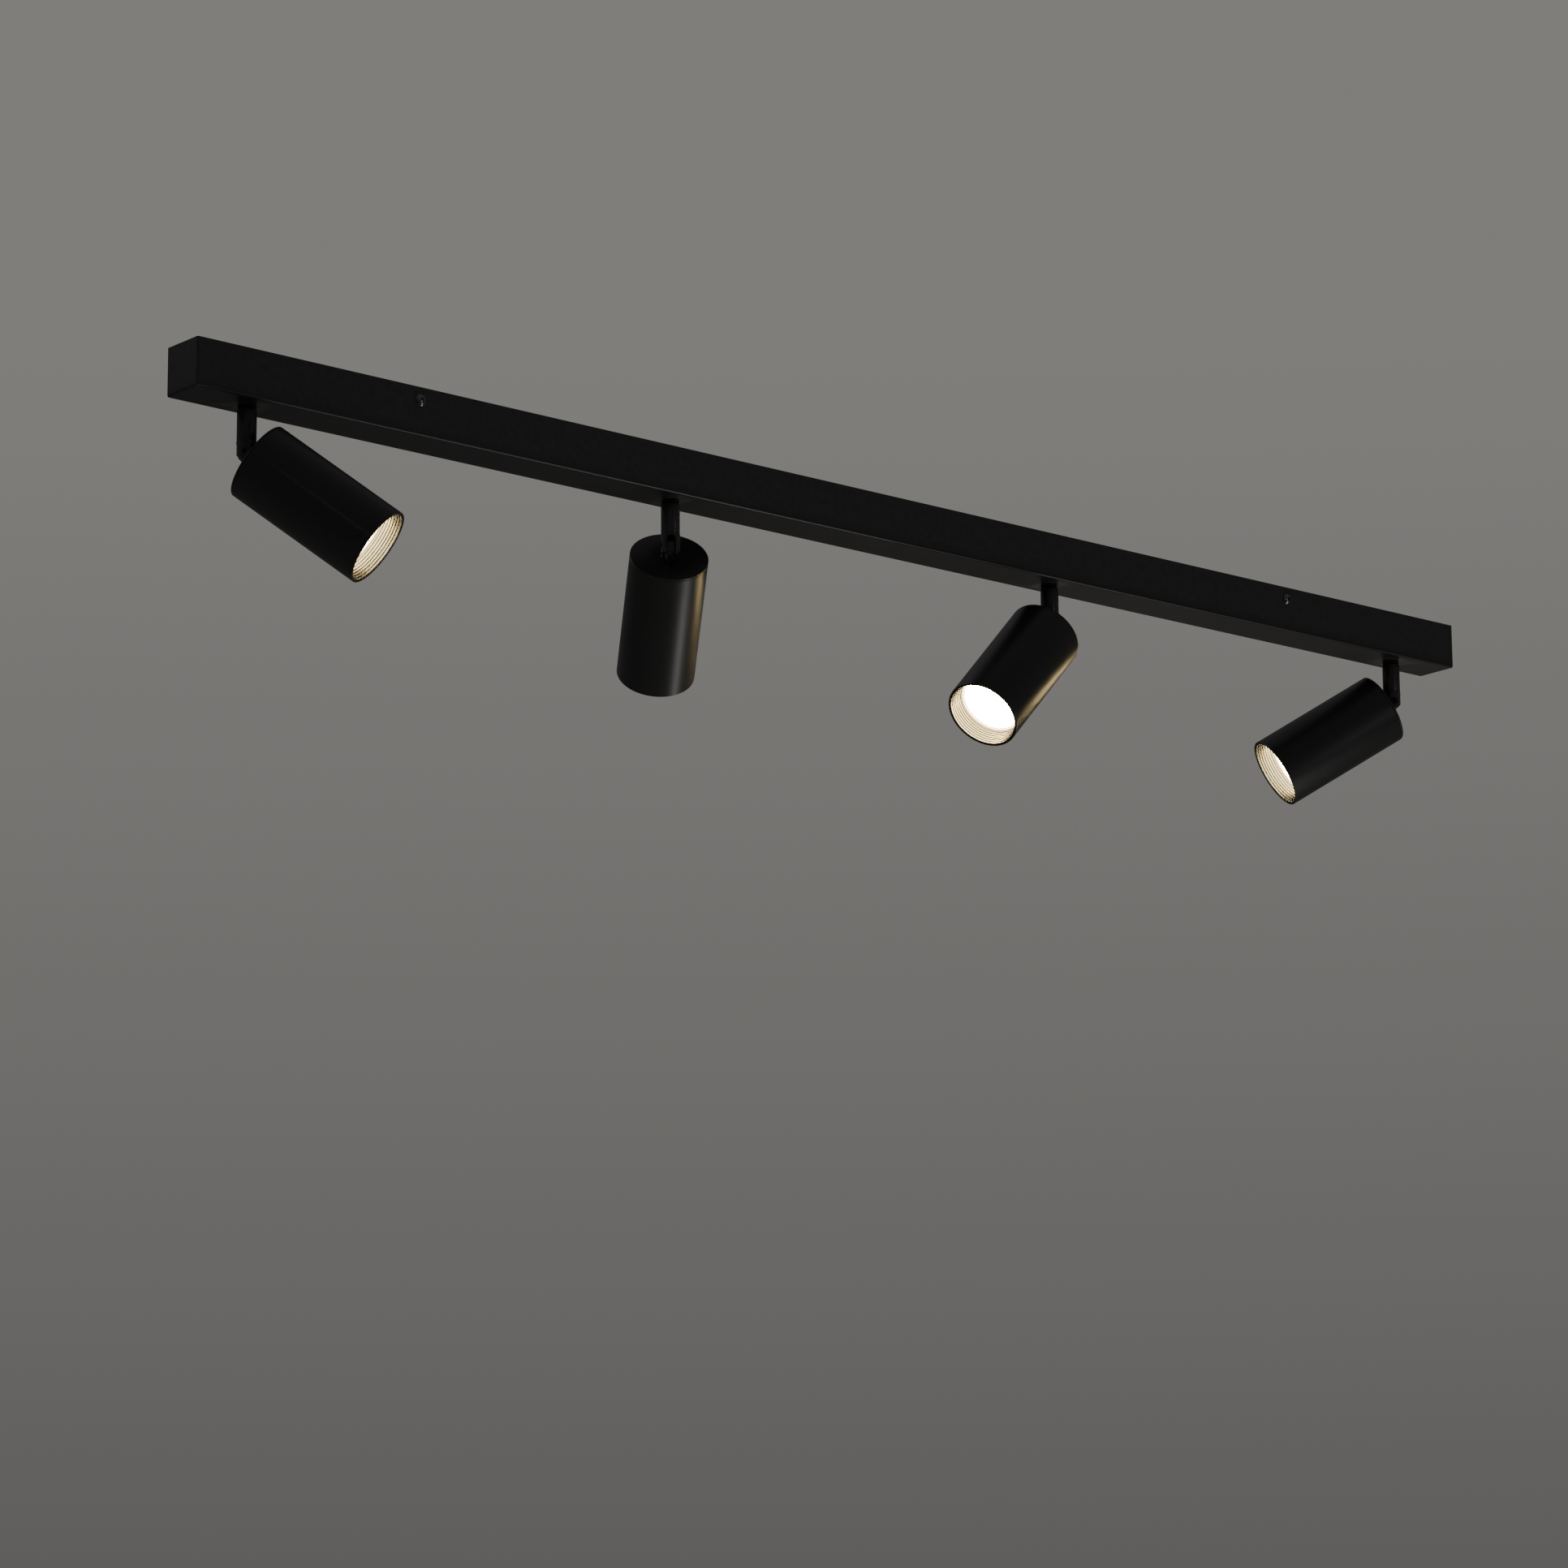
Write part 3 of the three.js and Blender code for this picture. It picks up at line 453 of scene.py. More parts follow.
def turned(profile, steps):
    """A mesh turned round +Z from a profile of (radius, height), closed up if it starts off the axis."""
    shape = bmesh.new()
    rings = []
    for radius, level in profile:
        count = steps if radius > ON_AXIS else 1
        angles = [2 * math.pi * step / steps for step in range(count)]
        rings.append([shape.verts.new((radius * math.cos(a), radius * math.sin(a), level)) for a in angles])
    pairs = list(zip(rings, rings[1:]))
    if profile[0][0] > ON_AXIS:
        pairs.append((rings[-1], rings[0]))
    for lower, upper in pairs:
        for step in range(steps):
            after = (step + 1) % steps
            corners = [lower[step % len(lower)], lower[after % len(lower)]]
            corners += [upper[after % len(upper)], upper[step % len(upper)]]
            distinct = list(dict.fromkeys(corners))
            if len(distinct) > 2:
                shape.faces.new(distinct)
    bmesh.ops.recalc_face_normals(shape, faces=shape.faces)
    mesh = bpy.data.meshes.new("turned")
    shape.to_mesh(mesh)
    shape.free()
    return mesh


def rod(radius, bottom, top, steps=HOLE_STEPS):
    return turned([(0, bottom), (radius, bottom), (radius, top), (0, top)], steps)


def evaluated(thing):
    """The mesh that an object's modifiers make of it. The object itself is removed."""
    bpy.context.view_layer.update()
    graph = bpy.context.evaluated_depsgraph_get()
    mesh = bpy.data.meshes.new_from_object(thing.evaluated_get(graph))
    bpy.data.objects.remove(thing)
    return mesh


def carved(mesh, *steps):
    """A mesh after each (operation, other mesh) in turn: DIFFERENCE, UNION or INTERSECT."""
    body = bpy.data.objects.new("body", mesh)
    bpy.context.scene.collection.objects.link(body)
    tools = []
    for operation, other in steps:
        tool = bpy.data.objects.new("tool", other)
        bpy.context.scene.collection.objects.link(tool)
        tools.append(tool)
        cut = body.modifiers.new("cut", "BOOLEAN")
        cut.operation = operation
        cut.object = tool
        cut.solver = "EXACT"
    result = evaluated(body)
    for tool in tools:
        bpy.data.objects.remove(tool)
    return result


def moved(mesh, *steps):
    """The mesh after each matrix in turn."""
    for step in steps:
        mesh.transform(step)
    return mesh


def piece(name, mesh, material, body, stands_for, place=None):
    """A mesh drawn in millimetres, set in its place in the frame, smooth but for its sharp edges."""
    mesh.transform((place or Matrix()) @ Matrix.Scale(MM, 4))
    mesh.polygons.foreach_set("use_smooth", [True] * len(mesh.polygons))
    mesh.set_sharp_from_angle(angle=math.radians(SHARP_ANGLE))
    mesh.materials.clear()
    mesh.materials.append(material)
    thing = bpy.data.objects.new(name, mesh)
    bpy.context.scene.collection.objects.link(thing)
    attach(thing, body)
    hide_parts(stands_for)


def folded_tray():
    """An open box with round folds, made from an outer skin that is thickened inwards."""
    low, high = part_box("channel")
    centre, size = (low + high) / 2 / MM, (high - low) / MM
    skin = bmesh.new()
    bmesh.ops.create_cube(skin, size=1, matrix=Matrix.Translation(centre) @ Matrix.Diagonal((*size, 1)))
    lid = [face for face in skin.faces if face.normal.z > 0.5]
    bmesh.ops.delete(skin, geom=lid, context="FACES")
    margin = Vector.Fill(3, FOLD_MARGIN)
    beside = (centre - size / 2 + margin, centre + size / 2 - margin)
    cuts = [(place, axis) for place in beside for axis in (Vector((1, 0, 0)), Vector((0, 1, 0)))]
    cuts += [(beside[0], Vector((0, 0, 1)))]
    bays = round(size.x / BAY_LENGTH)
    cuts += [(Vector((size.x * (bay / bays - 0.5), 0, 0)), Vector((1, 0, 0))) for bay in range(1, bays)]
    for place, axis in cuts:
        everything = skin.verts[:] + skin.edges[:] + skin.faces[:]
        bmesh.ops.bisect_plane(skin, geom=everything, plane_co=place, plane_no=axis)
    folds = [edge for edge in skin.edges if not edge.is_boundary and edge.calc_face_angle() > 1]
    bmesh.ops.bevel(
        skin, geom=folds, offset=FOLD_RADIUS, offset_type="OFFSET", segments=FOLD_STEPS,
        profile=0.5, affect="EDGES", clamp_overlap=True,
    )
    mesh = bpy.data.meshes.new("tray")
    skin.to_mesh(mesh)
    skin.free()
    tray = bpy.data.objects.new("tray", mesh)
    bpy.context.scene.collection.objects.link(tray)
    thicken = tray.modifiers.new("sheet", "SOLIDIFY")
    thicken.thickness = SHEET
    thicken.offset = -1
    thicken.use_even_offset = True
    return evaluated(tray)


def middle(node):
    low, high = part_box(node)
    return (low + high) / 2


holes = []
bar_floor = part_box("channel")[0].z / MM
for number in range(1, len(frame["joints"]) // 2 + 1):
    across = middle(f"swivel_collar_{number}").x / MM
    drill = rod(STEM_HOLE_RADIUS, bar_floor - DRILL_REACH, bar_floor + DRILL_REACH)
    holes.append(("DIFFERENCE", moved(drill, Matrix.Translation((across, 0, 0)))))
for corner in SIDE_SCREWS:
    spot = middle(f"side_screw_{corner}") / MM
    drill = rod(SCREW_HOLE_RADIUS, -DRILL_REACH, DRILL_REACH)
    turn = Matrix.Rotation(math.pi / 2, 4, "X")
    holes.append(("DIFFERENCE", moved(drill, turn, Matrix.Translation(spot))))
piece("bar_channel", carved(folded_tray(), *holes), bar_coat, "root", "channel")

# ------------------------ Side screws
# Four blackened pan-head screws with cross recesses. They go through the channel's walls into the
# bracket's tabs, and hold the bar up.

SCREW_HEAD_RADIUS = 4.2
SCREW_HEAD_HEIGHT = 2.3
SCREW_RADIUS = 1.95
SCREW_LENGTH = 7.0
SCREW_LIP_RADIUS = 3.5
SCREW_LIP_HEIGHT = 0.75
SCREW_RECESS_DEPTH = 1.6
SCREW_RECESS_SPAN = 6.6
SCREW_RECESS_WIDTH = 1.7
SCREW_RECESS_TIP = 0.25
SCREW_RIM_EASE = 0.3
SCREW_SEAT_EASE = 0.1
SCREW_TIP_EASE = 0.5
SCREW_GAP = 0.05
SCREW_TWISTS = (17, 48, 79, 110)
SCREW_STEPS = 48
DOME_STEPS = 8
# A corner that turns by fewer degrees stays as it is, and an arc takes at most this share of a side.
LEAST_TURN = 8
MOST_SHARE = 0.45

black_steel = blotchy_material(
    "blackened_steel", size=0.003, dark=(0.16, 0.16, 0.165), light=(0.26, 0.26, 0.27),
    smooth=0.14, rough=0.22, metallic=1.0, bump=0.12,
)


def softened(profile, radius, steps=4):
    """The profile with each corner that isn't an end on the axis turned into a small arc."""
    ringed = profile[0][0] > ON_AXIS
    points = [Vector(point) for point in profile]
    result = []
    for index, corner in enumerate(points):
        if not ringed and index in (0, len(points) - 1):
            result.append(tuple(corner))
            continue
        before = points[index - 1]
        after = points[(index + 1) % len(points)]
        inward, outward = corner - before, after - corner
        turn = inward.angle(outward)
        if turn < math.radians(LEAST_TURN):
            result.append(tuple(corner))
            continue
        reach = min(radius * math.tan(turn / 2), MOST_SHARE * inward.length, MOST_SHARE * outward.length)
        start = corner - inward.normalized() * reach
        end = corner + outward.normalized() * reach
        for step in range(steps + 1):
            share = step / steps
            result.append(tuple(start.lerp(corner, share).lerp(corner.lerp(end, share), share)))
    return result


def domed_screw():
    """Its head stands up along +Z from 0, and its shank runs down."""
    dome = []
    rise = SCREW_HEAD_HEIGHT - SCREW_LIP_HEIGHT
    for step in range(DOME_STEPS + 1):
        angle = math.pi / 2 * step / DOME_STEPS
        dome.append((SCREW_LIP_RADIUS * math.sin(angle), SCREW_LIP_HEIGHT + rise * math.cos(angle)))
    shank = [
        (SCREW_HEAD_RADIUS - SCREW_RIM_EASE, SCREW_LIP_HEIGHT),
        (SCREW_HEAD_RADIUS, SCREW_LIP_HEIGHT - SCREW_RIM_EASE),
        (SCREW_HEAD_RADIUS, SCREW_SEAT_EASE),
        (SCREW_HEAD_RADIUS - SCREW_SEAT_EASE, 0.0),
        (SCREW_RADIUS, 0.0),
        (SCREW_RADIUS, SCREW_TIP_EASE - SCREW_LENGTH),
        (SCREW_RADIUS - SCREW_TIP_EASE, -SCREW_LENGTH),
        (0, -SCREW_LENGTH),
    ]
    return turned(dome + shank, SCREW_STEPS)


def cross_recess(top):
    """Two crossed, tapering wedges that sink into a screw's head."""
    wedges = []
    for turn in (0, math.pi / 2):
        wedge = bmesh.new()
        bmesh.ops.create_cone(
            wedge, cap_ends=True, segments=4, radius1=SCREW_RECESS_TIP, radius2=1.0,
            depth=2 * SCREW_RECESS_DEPTH,
        )
        mesh = bpy.data.meshes.new("wedge")
        wedge.to_mesh(mesh)
        wedge.free()
        square = Matrix.Rotation(math.pi / 4, 4, "Z")
        stretch = Matrix.Diagonal((SCREW_RECESS_SPAN / math.sqrt(2), SCREW_RECESS_WIDTH / math.sqrt(2), 1, 1))
        crossed = Matrix.Rotation(turn, 4, "Z")
        wedges.append(moved(mesh, square, stretch, crossed, Matrix.Translation((0, 0, top))))
    return wedges


for corner, twist_degrees in zip(SIDE_SCREWS, SCREW_TWISTS):
    node = f"side_screw_{corner}"
    side = -1 if "front" in corner else 1
    spot = middle(node)
    spot.y = side * (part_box("channel")[1].y + SCREW_GAP * MM)
    head = carved(domed_screw(), *[("DIFFERENCE", wedge) for wedge in cross_recess(SCREW_HEAD_HEIGHT)])
    outward = Matrix.Translation(spot) @ Matrix.Rotation(-side * math.pi / 2, 4, "X")
    twist = Matrix.Rotation(math.radians(twist_degrees), 4, "Z")
    piece(f"pan_screw_{corner}", head, black_steel, "root", node, outward @ twist)

# ------------------------ Terminal block and earth stud
# A white moulded block on the channel's floor takes the supply cable and the four leads. The stud beside
# it is welded to the floor and carries the earth wire's nut.

BLOCK_EDGE = 0.5
STUD_EDGE = 0.2

block_plastic = blotchy_material(
    "terminal_plastic", size=0.006, dark=(0.66, 0.65, 0.61), light=(0.76, 0.75, 0.71),
    smooth=0.4, rough=0.55, metallic=0.0, bump=0.3,
)
refinish("terminal_block", block_plastic, BLOCK_EDGE)
refinish("earth_stud", zinc, STUD_EDGE)

# ------------------------ Leads
# One sleeved pair of wires from each stem to the terminal block, led along the channel beside and above
# the lock nuts. The sleeve is braided glass fibre, soft and light grey.

LEAD_RADIUS = 2.45
LEAD_RISE = 9.0
LEAD_LEVEL = 13.0
LEAD_BLOCK_GAP = 0.3
LEAD_NIPPLE_GAP = 0.6
OUTER_LANE = 7.0
INNER_LANE = -4.0
# Shares of the lead's rise, on its way from the nipple to its lane.
LEAD_STRAIGHT = 0.35
LEAD_CREST = 0.1
LEAD_SETTLED = 2.2
BRAID_LEAN = 40
BRAID_FREQUENCY = 260.0
BRAID_RELIEF = 0.0003
# Painted shade: the darker grey in the gaps between the strands.
PAINTED_GAP_SHADE_COLOUR = (0.36, 0.36, 0.35, 1)
SLEEVE_STRAND_COLOUR = (0.66, 0.66, 0.64, 1)


def braid_material():
    """Slanted strands that lean both ways, paler and smoother on top, with the gaps between them darkened by
    painted shade.
    """
    material, tree, shader, coordinates = new_material("braided_sleeve")
    strands = []
    for lean in (1, -1):
        turn = add(tree, "ShaderNodeMapping")
        turn.inputs["Rotation"].default_value = (0, 0, lean * math.radians(BRAID_LEAN))
        weave = add(tree, "ShaderNodeTexWave", Scale=BRAID_FREQUENCY, Distortion=0.4, Detail=1.0)
        join(tree, coordinates, turn.inputs["Vector"])
        join(tree, turn.outputs[0], weave.inputs["Vector"])
        strands.append(weave.outputs["Fac"])
    braid = add(tree, "ShaderNodeMath", operation="MAXIMUM")
    join(tree, strands[0], braid.inputs[0])
    join(tree, strands[1], braid.inputs[1])
    colour = add(tree, "ShaderNodeMix", data_type="RGBA")
    colour.inputs["A"].default_value = PAINTED_GAP_SHADE_COLOUR
    colour.inputs["B"].default_value = SLEEVE_STRAND_COLOUR
    relief = add(tree, "ShaderNodeBump", Strength=0.6, Distance=BRAID_RELIEF)
    roughness = add(tree, "ShaderNodeMapRange", To_Min=0.85, To_Max=0.6)
    join(tree, braid.outputs[0], colour.inputs["Factor"])
    join(tree, braid.outputs[0], relief.inputs["Height"])
    join(tree, braid.outputs[0], roughness.inputs["Value"])
    join(tree, colour.outputs["Result"], shader.inputs["Base Color"])
    join(tree, roughness.outputs[0], shader.inputs["Roughness"])
    join(tree, relief.outputs["Normal"], shader.inputs["Normal"])
    return material


def lead_curve(name, number):
    """A round sleeve that rises from the nipple, turns along the channel and runs to the block."""
    start = middle(f"swivel_collar_{number}").x
    nipple_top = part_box(f"stem_{number}")[1].z
    low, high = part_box("terminal_block")
    side = 1 if start > 0 else -1
    end = (high if side > 0 else low).x + side * LEAD_BLOCK_GAP * MM
    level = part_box("channel")[0].z + (SHEET + LEAD_LEVEL) * MM
    rise = LEAD_RISE * MM
    lane = (OUTER_LANE if number in (1, 4) else INNER_LANE) * MM
    near = start - side * LEAD_SETTLED * rise
    points = [
        (start, 0, nipple_top + LEAD_NIPPLE_GAP * MM),
        (start, 0, nipple_top + LEAD_STRAIGHT * rise),
        (start - side * rise, lane / 2, level + LEAD_CREST * rise),
        (near, lane, level),
        ((near + end) / 2, lane, level),
        (end + side * rise, lane, level),
        (end, lane, level),
    ]
    curve = bpy.data.curves.new(name, "CURVE")
    curve.dimensions = "3D"
    curve.bevel_depth = LEAD_RADIUS * MM
    curve.bevel_resolution = 4
    curve.resolution_u = 10
    curve.use_fill_caps = True
    spline = curve.splines.new("BEZIER")
    spline.bezier_points.add(len(points) - 1)
    for knot, point in zip(spline.bezier_points, points):
        knot.co = point
        knot.handle_left_type = knot.handle_right_type = "AUTO"
    return bpy.data.objects.new(name, curve)


sleeve = braid_material()
for number in (1, 2, 3, 4):
    lead = lead_curve(f"sleeved_lead_{number}", number)
    lead.data.materials.append(sleeve)
    bpy.context.scene.collection.objects.link(lead)
    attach(lead, "root")
    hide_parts(f"lead_{number}")

# ------------------------ Swivel collars
# A turned black nylon bush in each stem hole. Its flange is the thin dark ring between the bar and the
# stem, and the stem's nipple turns in its bore.

COLLAR_RADIUS = 6.3
COLLAR_HEIGHT = 2.0
COLLAR_BORE = 4.14
COLLAR_SPIGOT = 5.4
COLLAR_LIFT = 0.05
COLLAR_EASE = 0.3
# The play between a piece and the one it sits on, and the steps round a piece of about a stem's size.
SEAT = 0.3
FINE = 64

nylon = blotchy_material(
    "black_nylon", size=0.002, dark=(0.004, 0.004, 0.004), light=(0.008, 0.008, 0.008),
    smooth=0.45, rough=0.6, metallic=0.0, bump=0.35, level=0.3,
)


class Head:
    """One aimed head: its number, where its stem and its tube stand in the frame, and their bodies."""

    def __init__(self, number):
        tilt = joints[f"tilt_{number}"]
        axis = Vector(tilt["axis"])
        low, high = tilt["range_deg"]
        bearing = Matrix.Rotation(math.atan2(axis.x, -axis.y), 4, "Z")
        self.number = number
        self.stem = Matrix.Translation(tilt["pos_m"]) @ bearing
        self.tube = self.stem @ Matrix.Rotation(math.radians((low + high) / 2), 4, "Y")
        self.foot = Matrix.Translation((tilt["pos_m"][0], 0, 0))
        self.stem_body = tilt["parent"]
        self.tube_body = tilt["child"]


heads = [Head(number) for number in range(1, len(frame["joints"]) // 2 + 1)]
for head in heads:
    foot, shoulder, tip = bar_floor - COLLAR_HEIGHT, bar_floor - COLLAR_LIFT, bar_floor + SHEET + SEAT
    ring = turned(softened([
        (COLLAR_BORE, foot), (COLLAR_RADIUS, foot), (COLLAR_RADIUS, shoulder),
        (COLLAR_SPIGOT, shoulder), (COLLAR_SPIGOT, tip), (COLLAR_BORE, tip),
    ], COLLAR_EASE), FINE)
    node = f"swivel_collar_{head.number}"
    piece(f"nylon_bush_{head.number}", ring, nylon, "root", node, head.foot)

# ------------------------ Lock nuts
# Zinc-plated flanged hexagon nuts on the nipples inside the channel. They carry the heads' weight and
# set how stiffly each stem turns.

NUT_EDGE = 0.3

for head in heads:
    refinish(f"lock_nut_{head.number}", zinc, NUT_EDGE)

# ------------------------ Stems
# A short drawn tube under each collar, chamfered at the top, with a hollow threaded nipple that goes up
# through the bar. Coated with the bar, but a little glossier because the tube is smooth.

STEM_RADIUS = 6.7
STEM_BORE = 4.9
STEM_CHAMFER = 1.0
NIPPLE_RADIUS = 4.0
WIREWAY = 2.8
NIPPLE_PLAIN = 3.0
NIPPLE_TIP_EASE = 0.4
THREAD_START = 3.5
THREAD_PITCH = 1.0
THREAD_DEPTH = 0.3
STEM_WEB = 4.0
STEM_EASE = 0.15
FOOT_GAP = 0.05

stem_coat = powder_coat(
    "stem_coat", deep=(0.006, 0.006, 0.0063), tone=(0.010, 0.010, 0.0105),
    grain=0.0005, smooth=0.30, rough=0.36, bump=0.3, dust=0.04,
)


def stem_mesh(top, bottom, tip):
    """The tube from its foot to its chamfer, and the nipple with its thread cut as rings."""
    outside = [
        (STEM_BORE, bottom), (STEM_RADIUS, bottom), (STEM_RADIUS, top - STEM_CHAMFER),
        (STEM_RADIUS - STEM_CHAMFER, top), (NIPPLE_RADIUS, top), (NIPPLE_RADIUS, top + NIPPLE_PLAIN),
    ]
    thread = []
    level = top + THREAD_START
    while level < tip - THREAD_PITCH:
        thread += [(NIPPLE_RADIUS, level), (NIPPLE_RADIUS - THREAD_DEPTH, level + THREAD_PITCH / 2)]
        level += THREAD_PITCH
    inside = [
        (NIPPLE_RADIUS - NIPPLE_TIP_EASE, tip), (WIREWAY, tip),
        (WIREWAY, top - STEM_WEB), (STEM_BORE, top - STEM_WEB),
    ]
    return turned(softened(outside + thread + inside, STEM_EASE, 2), FINE)


for head in heads:
    low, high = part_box(f"stem_{head.number}")
    collar_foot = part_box(f"swivel_collar_{head.number}")[0].z
    pivot = head.stem.translation.z
    top, bottom, tip = [(level - pivot) / MM for level in (collar_foot, low.z, high.z)]
    tube = stem_mesh(top - SEAT, bottom - SEAT + FOOT_GAP, tip)
    name = f"stem_tube_{head.number}"
    piece(name, tube, stem_coat, head.stem_body, f"stem_{head.number}", head.stem)

# ------------------------ Forks
# A turned and milled block on the foot of each stem: two ears with a round-topped slot between them,
# flats on both sides and a chamfered toe. The pivot screw crosses it.

FORK_RADIUS = 6.9
FORK_SHOULDER = 8.0
FORK_FLAT = 6.25
FORK_FLAT_TOP = 5.0
FORK_BOTTOM = 5.6
FORK_CHAMFER = 3.6
FORK_SLOT = 6.2
SLOT_ARCH = 3.9
FORK_SPIGOT_RADIUS = 4.6
FORK_SPIGOT_TOP = 18.0
FORK_SHOULDER_EASE = 0.2
FORK_EASE = 0.22
EASE_ANGLE = 30
TOOL_MARGIN = 2.0
TOOL_TOP = 30.0
SLOT_TOOL_FOOT = -20.0
PIVOT_RADIUS = 1.5
PIVOT_HEAD_RADIUS = 2.7
PIVOT_HEAD_HEIGHT = 1.4
PIVOT_PLAY = 0.15
COUNTERBORE_PLAY = 0.2
COUNTERBORE_SINK = 0.1
PIVOT_SEAT = FORK_RADIUS - SEAT - PIVOT_HEAD_HEIGHT
ALONG_Y = Matrix.Rotation(-math.pi / 2, 4, "X")


def plate(outline, thickness, upright):
    """An outline drawn in two axes and given a thickness, centred, turned by a matrix."""
    shape = bmesh.new()
    face = shape.faces.new([shape.verts.new((x, y, -thickness / 2)) for x, y in outline])
    grown = bmesh.ops.extrude_face_region(shape, geom=[face])
    fresh = [item for item in grown["geom"] if isinstance(item, bmesh.types.BMVert)]
    bmesh.ops.translate(shape, verts=fresh, vec=(0, 0, thickness))
    bmesh.ops.recalc_face_normals(shape, faces=shape.faces)
    mesh = bpy.data.meshes.new("plate")
    shape.to_mesh(mesh)
    shape.free()
    return moved(mesh, upright)


def arc(centre, radius, start, end, steps=24):
    turns = [math.radians(start + (end - start) * step / steps) for step in range(steps + 1)]
    return [(centre[0] + radius * math.cos(t), centre[1] + radius * math.sin(t)) for t in turns]


def eased(mesh, width):
    """The mesh with its sharp edges broken by a small bevel."""
    thing = bpy.data.objects.new("eased", mesh)
    bpy.context.scene.collection.objects.link(thing)
    bevel = thing.modifiers.new("edges", "BEVEL")
    bevel.width = width
    bevel.segments = 2
    bevel.limit_method = "ANGLE"
    bevel.angle_limit = math.radians(EASE_ANGLE)
    bevel.use_clamp_overlap = True
    return evaluated(thing)


# An outline in X and Z stands up when it is turned about X. One in Y and Z is turned about Z as well.
STAND_XZ = Matrix.Rotation(math.pi / 2, 4, "X")
STAND_YZ = Matrix.Rotation(math.pi / 2, 4, "Z") @ STAND_XZ


def fork_mesh():
    """A turned blank, cut by its flats, its slot, the wireway and the pivot screw's holes."""
    wide = FORK_RADIUS + TOOL_MARGIN
    blank = turned([
        (0, -FORK_BOTTOM), (FORK_RADIUS, -FORK_BOTTOM), (FORK_RADIUS, FORK_SHOULDER - FORK_SHOULDER_EASE),
        (FORK_RADIUS - FORK_SHOULDER_EASE, FORK_SHOULDER), (FORK_SPIGOT_RADIUS, FORK_SHOULDER),
        (FORK_SPIGOT_RADIUS, FORK_SPIGOT_TOP), (0, FORK_SPIGOT_TOP),
    ], FINE)
    sides = plate([
        (-wide, FORK_FLAT_TOP), (-FORK_FLAT, FORK_FLAT_TOP), (-FORK_FLAT, FORK_CHAMFER - FORK_BOTTOM),
        (FORK_CHAMFER - FORK_FLAT, -FORK_BOTTOM), (FORK_FLAT - FORK_CHAMFER, -FORK_BOTTOM),
        (FORK_FLAT, FORK_CHAMFER - FORK_BOTTOM), (FORK_FLAT, FORK_FLAT_TOP), (wide, FORK_FLAT_TOP),
        (wide, TOOL_TOP), (-wide, TOOL_TOP),
    ], 2 * wide, STAND_XZ)
    half = FORK_SLOT / 2
    slot_outline = [(-half, SLOT_TOOL_FOOT), (half, SLOT_TOOL_FOOT), *arc((0, SLOT_ARCH), half, 0, 180)]
    slot = plate(slot_outline, 2 * wide, STAND_YZ)
    bore = moved(rod(PIVOT_RADIUS + PIVOT_PLAY, -wide, wide), ALONG_Y)
    sunk = rod(PIVOT_HEAD_RADIUS + COUNTERBORE_PLAY, PIVOT_SEAT - COUNTERBORE_SINK, wide)
    body = carved(
        blank, ("INTERSECT", sides), ("DIFFERENCE", slot), ("DIFFERENCE", rod(WIREWAY, 0, TOOL_TOP)),
        ("DIFFERENCE", bore), ("DIFFERENCE", moved(sunk, ALONG_Y)),
    )
    return eased(body, FORK_EASE)


for head in heads:
    name = f"milled_fork_{head.number}"
    piece(name, fork_mesh(), stem_coat, head.stem_body, f"fork_{head.number}", head.stem)

# ------------------------ Pivot screws
# An oiled black socket screw across each fork, sunk flush in one ear and threaded into the other. How
# tightly it is done up sets how stiffly the head tilts.

PIVOT_END_INSET = 0.6
PIVOT_EASE = 0.25
SOCKET_FLATS = 2.0
SOCKET_DEPTH = 0.9

oiled_steel = blotchy_material(
    "oiled_black_steel", size=0.002, dark=(0.022, 0.022, 0.023), light=(0.045, 0.045, 0.046),
    smooth=0.24, rough=0.34, metallic=1.0, bump=0.15,
)


def pivot_screw_mesh():
    """Turned about +Z, its head at the top, with a hexagon socket."""
    face = PIVOT_SEAT + PIVOT_HEAD_HEIGHT
    tip = PIVOT_END_INSET - FORK_RADIUS
    blank = turned(softened([
        (0, tip), (PIVOT_RADIUS, tip), (PIVOT_RADIUS, PIVOT_SEAT), (PIVOT_HEAD_RADIUS, PIVOT_SEAT),
        (PIVOT_HEAD_RADIUS, face), (0, face),
    ], PIVOT_EASE), FINE)
    hexagon = rod(SOCKET_FLATS / math.sqrt(3), face - SOCKET_DEPTH, face + 1, 6)
    return moved(carved(blank, ("DIFFERENCE", hexagon)), ALONG_Y)


for head in heads:
    name = f"socket_screw_{head.number}"
    node = f"pivot_screw_{head.number}"
    piece(name, pivot_screw_mesh(), oiled_steel, head.stem_body, node, head.stem)

# ------------------------ Lugs
# The tongue between the fork's ears: a round eye on a short blade, a foot that sits on the back cap, and
# a stud through it. Die cast, and coated with the head.

LUG_EYE = 4.8
LUG_FOOT_RADIUS = 5.8
LUG_FOOT_UNDERSIDE = -9.45
LUG_FOOT_HEIGHT = 1.15
LUG_STUD_RADIUS = 3.5
LUG_STUD_LENGTH = 6.5
LUG_THICKNESS = 5.4
LUG_BLADE_SINK = 0.5
LUG_BORE_PLAY = 0.1
LUG_BORE_REACH = 10.0
LUG_FOOT_EASE = 0.35
LUG_EASE = 0.25


